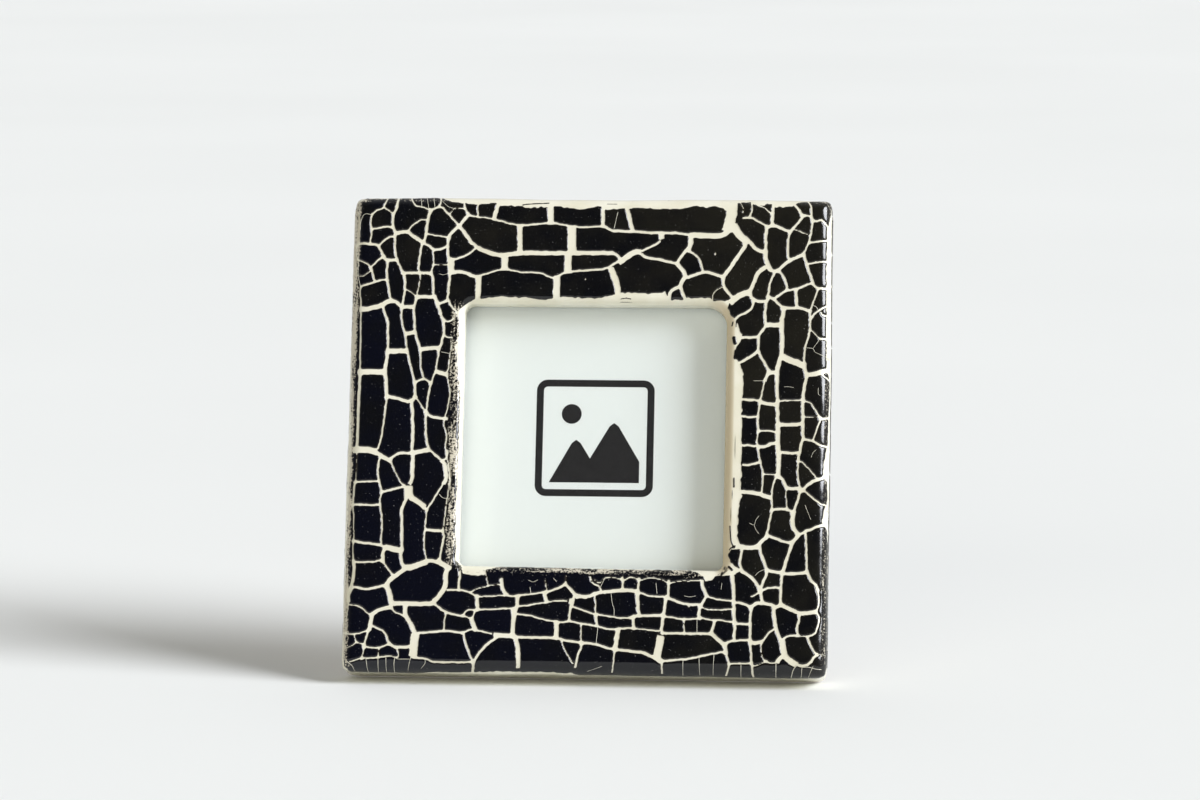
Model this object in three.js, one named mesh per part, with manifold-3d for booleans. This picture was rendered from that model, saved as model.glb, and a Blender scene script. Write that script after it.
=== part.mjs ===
// Ceramic photo frame: a thick square of glazed clay round a square window, with glass, print and board
// held in a rebate at the back and an easel strut on a riveted hinge.
// Millimetres, Z up, the front faces -Y, the origin is on the table in the middle of the footprint.

import * as THREE from "three";
import { mergeVertices } from "three/addons/utils/BufferGeometryUtils.js";
import Module from "manifold-3d";

// Ceramic body
const BODY_WIDTH = 130;
const BODY_HEIGHT = 130;
const FRONT_ROUNDING = 4;
const CORNER_EXTRA_RADIUS = 1;
const LIP_DEPTH = 6;

// Window, shaped by hand: each corner has its own radius and the opening sits right of the middle
const WINDOW_WIDTH = 71;
const WINDOW_HEIGHT = 71;
const WINDOW_OFFSET = 1.5;
const WINDOW_ROUNDING = 2.5;
const WINDOW_RADIUS_TOP_LEFT = 2.5;
const WINDOW_RADIUS_TOP_RIGHT = 5.5;
const WINDOW_RADIUS_BOTTOM_RIGHT = 2;
const WINDOW_RADIUS_BOTTOM_LEFT = 2;

// Sheets in the rebate, from the front
const SHEET_OVERLAP = 4.5;
const GLASS_THICKNESS = 2;
const PRINT_THICKNESS = 0.3;
const CARD_THICKNESS = 1.5;
const BOARD_THICKNESS = 3;
const SHEET_CORNER_RADIUS = 1;
const REBATE_CORNER_RADIUS = 1.2;

// Clearances
const SEAT_GAP = 0.2;
const SIDE_GAP = 0.4;
const TURNING_GAP = 0.3;

// Standing pose
const LEAN = THREE.MathUtils.degToRad(18);
const STRUT_OPEN = THREE.MathUtils.degToRad(30);

// Strut hinge
const PIN_RADIUS = 1;
const KNUCKLE_RADIUS = 2.1;
const LEAF_THICKNESS = 0.8;
const LEAF_CORNER_RADIUS = 2;
const HINGE_WIDTH = 26;
const MOVING_KNUCKLE_WIDTH = 9;
const FIXED_LEAF_LENGTH = 14;
const MOVING_LEAF_LENGTH = 16;
const HINGE_TOP_MARGIN = 3;
const STOP_TAB_WIDTH = 7;
const STOP_TAB_LENGTH = 7;

// Easel strut
const STRUT_THICKNESS = 2.6;
const STRUT_TOP_WIDTH = 24;
const STRUT_FOOT_WIDTH = 40;
const STRUT_TOP_RADIUS = 2;

// Rivets
const RIVET_RADIUS = 1.5;
const RIVET_HEAD_RADIUS = 2.8;
const RIVET_HEAD_HEIGHT = 1;
const RIVET_TAIL_RADIUS = 2.4;
const RIVET_TAIL_THICKNESS = 0.6;
const RIVET_SPACING = 16;

// Turn buttons with their screws and plugs
const BUTTON_THICKNESS = 1;
const BUTTON_PIVOT_RADIUS = 4.5;
const BUTTON_NOSE_RADIUS = 3;
const BUTTON_LENGTH = 12;
const BUTTON_SETBACK = 7;
const BUTTON_SPACING = 48;
const SCREW_RADIUS = 1.4;
const SCREW_REACH = 6.5;
const SCREW_HEAD_RADIUS = 2.9;
const SCREW_HEAD_HEIGHT = 1.8;
const SCREW_CROSS_LENGTH = 3.4;
const SCREW_CROSS_WIDTH = 0.8;
const SCREW_CROSS_DEPTH = 0.9;
const PLUG_RADIUS = 3.2;
const PLUG_FLOOR = 1;

// Roundness of the curves
const CORNER_STEPS = 4;
const ROUNDING_STEPS = 8;
const TURNED_STEPS = 20;
const KNUCKLE_STEPS = 32;
const DOME_STEPS = 4;
const WELD_DISTANCE = 1e-4;

// Sizes that follow from the ones above
const glassWidth = WINDOW_WIDTH + 2 * SHEET_OVERLAP;
const glassHeight = WINDOW_HEIGHT + 2 * SHEET_OVERLAP;
const rebateWidth = glassWidth + 2 * SIDE_GAP;
const rebateHeight = glassHeight + 2 * SIDE_GAP;
const sheetThickness = GLASS_THICKNESS + PRINT_THICKNESS + CARD_THICKNESS + BOARD_THICKNESS;
const rebateDepth = sheetThickness + 5 * SEAT_GAP;
const bodyDepth = LIP_DEPTH + rebateDepth;

// Depths behind the ceramic's back plane; what lies in the rebate is negative
const glassFront = -rebateDepth + SEAT_GAP;
const printFront = glassFront + GLASS_THICKNESS + SEAT_GAP;
const cardFront = printFront + PRINT_THICKNESS + SEAT_GAP;
const boardFront = cardFront + CARD_THICKNESS + SEAT_GAP;
const boardBack = boardFront + BOARD_THICKNESS;
const fixedLeafFront = boardBack + SEAT_GAP;
const pinDepth = fixedLeafFront + KNUCKLE_RADIUS;

// Heights of the hinge above the window's middle and above the table
const pinAboveMiddle = glassHeight / 2 - HINGE_TOP_MARGIN - FIXED_LEAF_LENGTH;
const pinAlongBody = BODY_HEIGHT / 2 + pinAboveMiddle;
const pinAboveTable = pinAlongBody * Math.cos(LEAN) - pinDepth * Math.sin(LEAN);
const strutTilt = STRUT_OPEN - LEAN;

const wasm = await Module();
wasm.setup();

// Solids and meshes

function solidFrom(geometry) {
  const bare = geometry.clone();
  bare.deleteAttribute("normal");
  bare.deleteAttribute("uv");
  const welded = mergeVertices(bare, WELD_DISTANCE);
  const vertProperties = welded.attributes.position.array;
  const triVerts = new Uint32Array(welded.index.array);
  return new wasm.Manifold(new wasm.Mesh({ numProp: 3, vertProperties, triVerts }));
}

function geometryFrom(solid) {
  const made = solid.getMesh();
  const geometry = new THREE.BufferGeometry();
  geometry.setAttribute("position", new THREE.BufferAttribute(made.vertProperties, 3));
  geometry.setIndex(new THREE.BufferAttribute(made.triVerts, 1));
  const faceted = geometry.toNonIndexed();
  faceted.computeVertexNormals();
  return faceted;
}

function addMesh(group, name, solid, look) {
  const mesh = new THREE.Mesh(geometryFrom(solid), new THREE.MeshStandardMaterial(look));
  mesh.name = name;
  group.add(mesh);
}

// A plate lies across the frame: its outline is seen from the front and its thickness runs backwards.
function plate(shape, thickness, front) {
  const geometry = new THREE.ExtrudeGeometry(shape, {
    depth: thickness,
    bevelEnabled: false,
    curveSegments: CORNER_STEPS,
  });
  geometry.rotateX(Math.PI / 2);
  geometry.translate(0, front + thickness, 0);
  return solidFrom(geometry);
}

function roundedRectangle(width, height, topLeft, topRight, bottomRight, bottomLeft) {
  const right = width / 2;
  const top = height / 2;
  const quarter = Math.PI / 2;
  const shape = new THREE.Shape();
  shape.moveTo(right, -top + bottomRight);
  shape.absarc(right - topRight, top - topRight, topRight, 0, quarter, false);
  shape.absarc(-right + topLeft, top - topLeft, topLeft, quarter, 2 * quarter, false);
  shape.absarc(-right + bottomLeft, -top + bottomLeft, bottomLeft, 2 * quarter, 3 * quarter, false);
  shape.absarc(right - bottomRight, -top + bottomRight, bottomRight, 3 * quarter, 4 * quarter, false);
  return shape;
}

function evenRectangle(width, height, radius) {
  return roundedRectangle(width, height, radius, radius, radius, radius);
}

// A slab whose front edges are rounded; its back runs past the ceramic's back plane, to be trimmed there.
function roundedSlab(shape, rounding) {
  const geometry = new THREE.ExtrudeGeometry(shape, {
    depth: bodyDepth - rounding,
    bevelThickness: rounding,
    bevelSize: rounding,
    bevelSegments: ROUNDING_STEPS,
    curveSegments: CORNER_STEPS,
  });
  geometry.rotateX(Math.PI / 2);
  return solidFrom(geometry);
}

function box(width, depth, height, x, y, z) {
  const geometry = new THREE.BoxGeometry(width, depth, height);
  geometry.translate(x, y, z);
  return solidFrom(geometry);
}

// A turned piece stands along the depth: its profile is [radius, depth] pairs from front to back.
function turned(profile) {
  const points = profile.map(([radius, depth]) => new THREE.Vector2(radius, depth));
  return solidFrom(new THREE.LatheGeometry(points, TURNED_STEPS));
}

function bore(radius, front, back, x, z) {
  return turned([[0, front], [radius, front], [radius, back], [0, back]]).translate([x, 0, z]);
}

function dome(radius, height, base) {
  const points = [];
  for (let step = 0; step <= DOME_STEPS; step++) {
    const angle = (step / DOME_STEPS) * (Math.PI / 2);
    points.push([radius * Math.cos(angle), base + height * Math.sin(angle)]);
  }
  points[DOME_STEPS][0] = 0;
  return points;
}

// A rod lies across the frame, along X.
function rod(radius, width, x) {
  const geometry = new THREE.CylinderGeometry(radius, radius, width, KNUCKLE_STEPS);
  geometry.rotateZ(Math.PI / 2);
  geometry.translate(x, 0, 0);
  return solidFrom(geometry);
}

// Looks
const GLAZE = { color: 0x1a1a1f, roughness: 0.15, metalness: 0 };
const GLASS = { color: 0xdfe8e4, roughness: 0.05, metalness: 0, transparent: true, opacity: 0.35 };
const PAPER = { color: 0xe5ece8, roughness: 0.6, metalness: 0 };
const CARD = { color: 0xb9a88a, roughness: 0.9, metalness: 0 };
const BOARD = { color: 0x2b2a29, roughness: 0.9, metalness: 0 };
const STEEL = { color: 0xb4b3ad, roughness: 0.35, metalness: 1 };
const BRASS = { color: 0xb99a55, roughness: 0.35, metalness: 1 };
const NYLON = { color: 0xe4e0d4, roughness: 0.6, metalness: 0 };

// The frame leans back about the lower rear edge of its body, which rests on the table.
// Inside this group X is right, Y runs back from the ceramic's back plane, Z runs up from its lower edge.
const leaning = new THREE.Group();
leaning.rotation.x = -LEAN;

// The rebate's middle is the window's middle.
const middle = new THREE.Group();
middle.position.set(WINDOW_OFFSET, 0, BODY_HEIGHT / 2);
leaning.add(middle);

const pinGroup = new THREE.Group();
pinGroup.position.set(0, pinDepth, pinAboveMiddle);
middle.add(pinGroup);

// Turn buttons stand in two pairs beside the rebate.
const pivotAcross = rebateWidth / 2 + BUTTON_SETBACK;
const pivots = [];
for (const [side, direction] of [["left", -1], ["right", 1]]) {
  for (const [level, rise] of [["upper", 1], ["lower", -1]]) {
    const x = direction * pivotAcross;
    const z = rise * BUTTON_SPACING / 2;
    pivots.push({ place: level + "_" + side, direction, x, z });
  }
}

// Ceramic body: an outer slab and a window slab share one front face, and the rebate is cut from behind.
function ceramicBody() {
  const outerShape = evenRectangle(
    BODY_WIDTH - 2 * FRONT_ROUNDING,
    BODY_HEIGHT - 2 * FRONT_ROUNDING,
    CORNER_EXTRA_RADIUS,
  );
  const outer = roundedSlab(outerShape, FRONT_ROUNDING).translate([-WINDOW_OFFSET, 0, 0]);
  const windowShape = evenRectangle(2 * BODY_WIDTH, 2 * BODY_HEIGHT, CORNER_EXTRA_RADIUS);
  const opening = roundedRectangle(
    WINDOW_WIDTH + 2 * WINDOW_ROUNDING,
    WINDOW_HEIGHT + 2 * WINDOW_ROUNDING,
    WINDOW_RADIUS_TOP_LEFT + WINDOW_ROUNDING,
    WINDOW_RADIUS_TOP_RIGHT + WINDOW_ROUNDING,
    WINDOW_RADIUS_BOTTOM_RIGHT + WINDOW_ROUNDING,
    WINDOW_RADIUS_BOTTOM_LEFT + WINDOW_ROUNDING,
  );
  windowShape.holes.push(opening);
  let body = outer.intersect(roundedSlab(windowShape, WINDOW_ROUNDING));
  const trim = FRONT_ROUNDING + WINDOW_ROUNDING;
  body = body.subtract(box(2 * BODY_WIDTH, trim, 2 * BODY_HEIGHT, 0, trim / 2, 0));
  const rebateShape = evenRectangle(rebateWidth, rebateHeight, REBATE_CORNER_RADIUS);
  body = body.subtract(plate(rebateShape, 2 * rebateDepth, -rebateDepth));
  for (const { x, z } of pivots) {
    body = body.subtract(bore(PLUG_RADIUS + TURNING_GAP, plugFront - SEAT_GAP, bodyDepth, x, z));
  }
  return body;
}

// Screws and plugs, along the depth at each pivot
const plugBack = -SEAT_GAP;
const screwTip = plugBack - SCREW_REACH;
const plugFront = screwTip - SEAT_GAP - PLUG_FLOOR;
const buttonFront = SEAT_GAP;
const screwHeadFront = buttonFront + BUTTON_THICKNESS + SEAT_GAP;

function screwPlug() {
  const boreRadius = SCREW_RADIUS + TURNING_GAP;
  const boreFront = plugFront + PLUG_FLOOR;
  return turned([
    [0, plugFront],
    [PLUG_RADIUS, plugFront],
    [PLUG_RADIUS, plugBack],
    [boreRadius, plugBack],
    [boreRadius, boreFront],
    [0, boreFront],
  ]);
}

function turnScrew() {
  const top = screwHeadFront + SCREW_HEAD_HEIGHT;
  const rim = screwHeadFront + SCREW_HEAD_HEIGHT / 2;
  const shank = [[0, screwTip], [SCREW_RADIUS, screwTip], [SCREW_RADIUS, screwHeadFront]];
  const head = [[SCREW_HEAD_RADIUS, screwHeadFront], ...dome(SCREW_HEAD_RADIUS, top - rim, rim)];
  let screw = turned([...shank, ...head]);
  const cutDepth = 2 * SCREW_CROSS_DEPTH;
  screw = screw.subtract(box(SCREW_CROSS_LENGTH, cutDepth, SCREW_CROSS_WIDTH, 0, top, 0));
  return screw.subtract(box(SCREW_CROSS_WIDTH, cutDepth, SCREW_CROSS_LENGTH, 0, top, 0));
}

// A turn button is two unlike circles joined by their tangents; its nose points to the middle of the frame.
function turnButton(direction) {
  const slope = Math.acos((BUTTON_PIVOT_RADIUS - BUTTON_NOSE_RADIUS) / BUTTON_LENGTH);
  const shape = new THREE.Shape();
  shape.absarc(0, 0, BUTTON_PIVOT_RADIUS, slope, 2 * Math.PI - slope, false);
  shape.absarc(BUTTON_LENGTH, 0, BUTTON_NOSE_RADIUS, -slope, slope, false);
  const hole = new THREE.Path();
  hole.absarc(0, 0, SCREW_RADIUS + TURNING_GAP, 0, 2 * Math.PI, false);
  shape.holes.push(hole);
  const pointing = direction > 0 ? 180 : 0;
  return plate(shape, BUTTON_THICKNESS, buttonFront).rotate([0, pointing, 0]);
}

// Hinge: both leaves are rolled round the pin, and the fixed one lies on the board.
// Inside the pin group the pin's axis is the origin.
const leafFront = -KNUCKLE_RADIUS;
const knuckleReach = KNUCKLE_RADIUS + TURNING_GAP;
const rivetAcross = RIVET_SPACING / 2;
const fixedRivetRise = (knuckleReach + FIXED_LEAF_LENGTH) / 2;
const movingRivetDrop = -(knuckleReach + MOVING_LEAF_LENGTH) / 2;
const sideKnuckleWidth = (HINGE_WIDTH - MOVING_KNUCKLE_WIDTH) / 2 - TURNING_GAP;
const sideKnuckleAcross = (HINGE_WIDTH - sideKnuckleWidth) / 2;

function leafPlate(length, front, rise) {
  const height = length - knuckleReach;
  const shape = evenRectangle(HINGE_WIDTH, height, LEAF_CORNER_RADIUS);
  return plate(shape, LEAF_THICKNESS, front).translate([0, 0, rise * (knuckleReach + height / 2)]);
}

function rivetHoles(solid, radius, front, back, height) {
  let drilled = solid;
  for (const direction of [-1, 1]) {
    drilled = drilled.subtract(bore(radius, front, back, direction * rivetAcross, height));
  }
  return drilled;
}

function fixedLeaf() {
  let leaf = leafPlate(FIXED_LEAF_LENGTH, leafFront, 1);
  const neckHeight = knuckleReach + LEAF_CORNER_RADIUS;
  for (const direction of [-1, 1]) {
    const across = direction * sideKnuckleAcross;
    const neckDepth = leafFront + LEAF_THICKNESS / 2;
    leaf = leaf.add(box(sideKnuckleWidth, LEAF_THICKNESS, neckHeight, across, neckDepth, neckHeight / 2));
    leaf = leaf.add(rod(KNUCKLE_RADIUS, sideKnuckleWidth, across));
  }
  leaf = leaf.subtract(rod(PIN_RADIUS + TURNING_GAP, 2 * HINGE_WIDTH, 0));
  const hole = RIVET_RADIUS + TURNING_GAP;
  return rivetHoles(leaf, hole, leafFront - LEAF_THICKNESS, leafFront + 2 * LEAF_THICKNESS, fixedRivetRise);
}

// The moving leaf lies on the strut's rear face; its stop tab meets the fixed leaf when the strut is open.
const movingLeafFront = KNUCKLE_RADIUS - LEAF_THICKNESS;
const strutFront = movingLeafFront - SEAT_GAP - STRUT_THICKNESS;

function movingLeaf() {
  let leaf = leafPlate(MOVING_LEAF_LENGTH, movingLeafFront, -1);
  const neckHeight = knuckleReach + LEAF_CORNER_RADIUS;
  const neckDepth = movingLeafFront + LEAF_THICKNESS / 2;
  leaf = leaf.add(box(MOVING_KNUCKLE_WIDTH, LEAF_THICKNESS, neckHeight, 0, neckDepth, -neckHeight / 2));
  leaf = leaf.add(rod(KNUCKLE_RADIUS, MOVING_KNUCKLE_WIDTH, 0));
  const tabDepth = leafFront + LEAF_THICKNESS + SEAT_GAP + LEAF_THICKNESS / 2;
  const tab = box(STOP_TAB_WIDTH, LEAF_THICKNESS, STOP_TAB_LENGTH, 0, tabDepth, STOP_TAB_LENGTH / 2);
  leaf = leaf.add(tab.rotate([-THREE.MathUtils.radToDeg(STRUT_OPEN), 0, 0]));
  leaf = leaf.subtract(rod(PIN_RADIUS + TURNING_GAP, 2 * HINGE_WIDTH, 0));
  const hole = RIVET_RADIUS + TURNING_GAP;
  const back = movingLeafFront + 2 * LEAF_THICKNESS;
  return rivetHoles(leaf, hole, movingLeafFront - LEAF_THICKNESS, back, movingRivetDrop);
}

// Strut: tapered board, wider at the foot, which is cut to lie flat on the table.
function easelStrut() {
  const top = -knuckleReach - SIDE_GAP;
  const foot = -pinAboveTable / Math.cos(strutTilt) - STRUT_THICKNESS;
  const shape = new THREE.Shape();
  shape.moveTo(-STRUT_FOOT_WIDTH / 2, foot);
  shape.lineTo(STRUT_FOOT_WIDTH / 2, foot);
  shape.lineTo(STRUT_TOP_WIDTH / 2, top - STRUT_TOP_RADIUS);
  const shoulder = STRUT_TOP_WIDTH / 2 - STRUT_TOP_RADIUS;
  shape.absarc(shoulder, top - STRUT_TOP_RADIUS, STRUT_TOP_RADIUS, 0, Math.PI / 2, false);
  shape.absarc(-shoulder, top - STRUT_TOP_RADIUS, STRUT_TOP_RADIUS, Math.PI / 2, Math.PI, false);
  let strut = plate(shape, STRUT_THICKNESS, strutFront);
  const table = box(BODY_WIDTH, BODY_HEIGHT, BODY_HEIGHT, 0, 0, -pinAboveTable - BODY_HEIGHT / 2);
  strut = strut.subtract(table.rotate([-THREE.MathUtils.radToDeg(strutTilt), 0, 0]));
  const back = movingLeafFront;
  strut = rivetHoles(strut, RIVET_RADIUS + TURNING_GAP, strutFront - SEAT_GAP, back, movingRivetDrop);
  const sink = RIVET_TAIL_THICKNESS + 2 * SEAT_GAP;
  const tailHole = RIVET_TAIL_RADIUS + TURNING_GAP;
  return rivetHoles(strut, tailHole, strutFront - SEAT_GAP, strutFront + sink, movingRivetDrop);
}

function rivet(sheetFront, headFront) {
  const tailFront = sheetFront + SEAT_GAP;
  const tailBack = tailFront + RIVET_TAIL_THICKNESS;
  return turned([
    [0, tailFront],
    [RIVET_TAIL_RADIUS, tailFront],
    [RIVET_TAIL_RADIUS, tailBack],
    [RIVET_RADIUS, tailBack],
    [RIVET_RADIUS, headFront],
    ...dome(RIVET_HEAD_RADIUS, RIVET_HEAD_HEIGHT, headFront),
  ]);
}

// Back board, drilled for the rivets of the fixed leaf
function backBoard() {
  const board = plate(evenRectangle(glassWidth, glassHeight, SHEET_CORNER_RADIUS), BOARD_THICKNESS, boardFront);
  const height = pinAboveMiddle + fixedRivetRise;
  const drilled = rivetHoles(board, RIVET_RADIUS + TURNING_GAP, cardFront, fixedLeafFront, height);
  const sink = boardFront + RIVET_TAIL_THICKNESS + 2 * SEAT_GAP;
  return rivetHoles(drilled, RIVET_TAIL_RADIUS + TURNING_GAP, cardFront, sink, height);
}

function sheet(thickness, front) {
  return plate(evenRectangle(glassWidth, glassHeight, SHEET_CORNER_RADIUS), thickness, front);
}

// Assembly

addMesh(middle, "ceramic_body", ceramicBody(), GLAZE);
addMesh(middle, "glass_pane", sheet(GLASS_THICKNESS, glassFront), GLASS);
addMesh(middle, "photo_print", sheet(PRINT_THICKNESS, printFront), PAPER);
addMesh(middle, "filler_card", sheet(CARD_THICKNESS, cardFront), CARD);
addMesh(middle, "back_board", backBoard(), BOARD);

for (const { place, direction, x, z } of pivots) {
  const pivot = new THREE.Group();
  pivot.position.set(x, 0, z);
  middle.add(pivot);
  addMesh(pivot, "turn_button_" + place, turnButton(direction), STEEL);
  addMesh(pivot, "turn_screw_" + place, turnScrew(), STEEL);
  addMesh(pivot, "screw_plug_" + place, screwPlug(), NYLON);
}

const strutGroup = new THREE.Group();
strutGroup.rotation.x = STRUT_OPEN;
pinGroup.add(strutGroup);

addMesh(pinGroup, "hinge_fixed_leaf", fixedLeaf(), STEEL);
addMesh(pinGroup, "hinge_pin", rod(PIN_RADIUS, HINGE_WIDTH, 0), STEEL);
addMesh(strutGroup, "hinge_moving_leaf", movingLeaf(), STEEL);
addMesh(strutGroup, "easel_strut", easelStrut(), BOARD);

const boardRivet = rivet(boardFront - pinDepth, leafFront + LEAF_THICKNESS + SEAT_GAP);
const strutRivet = rivet(strutFront, movingLeafFront + LEAF_THICKNESS + SEAT_GAP);
for (const [side, direction] of [["left", -1], ["right", 1]]) {
  const across = direction * rivetAcross;
  addMesh(pinGroup, "board_rivet_" + side, boardRivet.translate([across, 0, fixedRivetRise]), BRASS);
  addMesh(strutGroup, "strut_rivet_" + side, strutRivet.translate([across, 0, movingRivetDrop]), BRASS);
}

// The origin goes to the middle of the footprint.
const frame = new THREE.Group();
frame.add(leaning);
frame.updateMatrixWorld(true);
const footprint = new THREE.Box3().setFromObject(frame, true);
leaning.position.y = -(footprint.min.y + footprint.max.y) / 2;

export default frame;
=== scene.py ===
"""Looks of the ceramic photo frame: crackle glaze, glass, print, back, light and camera.

Lengths are millimetres until a mesh is made, and then metres. A place on the leaning frame
is given across, up its face, and back from the plane of the ceramic's back.
"""
import math

import bpy
import numpy as np
from mathutils import Matrix, Vector


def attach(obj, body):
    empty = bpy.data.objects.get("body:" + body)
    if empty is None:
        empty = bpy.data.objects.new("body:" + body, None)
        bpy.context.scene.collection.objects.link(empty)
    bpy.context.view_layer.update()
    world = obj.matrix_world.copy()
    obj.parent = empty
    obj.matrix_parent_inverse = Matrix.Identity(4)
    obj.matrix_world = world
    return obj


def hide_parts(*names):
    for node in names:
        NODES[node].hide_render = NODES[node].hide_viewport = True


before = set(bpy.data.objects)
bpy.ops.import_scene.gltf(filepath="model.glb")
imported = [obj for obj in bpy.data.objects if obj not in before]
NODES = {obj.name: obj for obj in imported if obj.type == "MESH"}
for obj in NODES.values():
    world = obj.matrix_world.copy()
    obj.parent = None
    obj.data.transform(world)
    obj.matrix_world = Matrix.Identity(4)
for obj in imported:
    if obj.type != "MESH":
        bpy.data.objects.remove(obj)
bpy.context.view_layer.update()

# Millimetres in a metre
METRE = 1000

# The part's own sizes, as in its source
LEAN = math.radians(18)
LEAN_SHIFT = -17.947444
MIDDLE_UP = 65.0
BODY_HALF = 65.0
BODY_DEPTH = 13.8
FACE_HALF = 61.0
FACE_CORNER = 1.0
OUTER_ROUND = 4.0
WINDOW_ACROSS = 1.5
WINDOW_HALF = 35.5
WINDOW_ROUND = 2.5
LIP_HALF = WINDOW_HALF + WINDOW_ROUND
LIP_DEPTH = 6.0
REBATE_HALF = 40.4
REBATE_CORNER = 1.2
PRINT_FRONT = -5.4
# Window corner radii at the throat: lower left, lower right, upper right, upper left
WINDOW_CORNERS = (2.0, 2.0, 5.5, 2.5)
FRAME_MIDDLE = np.array((0.0, MIDDLE_UP))
WINDOW_MIDDLE = np.array((WINDOW_ACROSS, MIDDLE_UP))

# What the hand did to the even shape: squarer corners, and a window that hangs lower at its foot
CORNER_POWER = 6
FOOT_SAG = 0.95
FOOT_SLOPE = 0.3

# The camera that fits the picture, which is 1200 by 800
PICTURE_WIDTH = 1200
PICTURE_MIDDLE = (600.0, 400.0)
FOCAL_PIXELS = 4440.0
SENSOR_WIDTH = 36.0
NEAREST_SEEN = 0.01
CAMERA_PLACE = np.array((90.225, -1189.262, 233.922))
CAMERA_YAW = math.radians(-4.209)
CAMERA_PITCH = math.radians(7.661)
CAMERA_ROLL = math.radians(-0.026)

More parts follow.
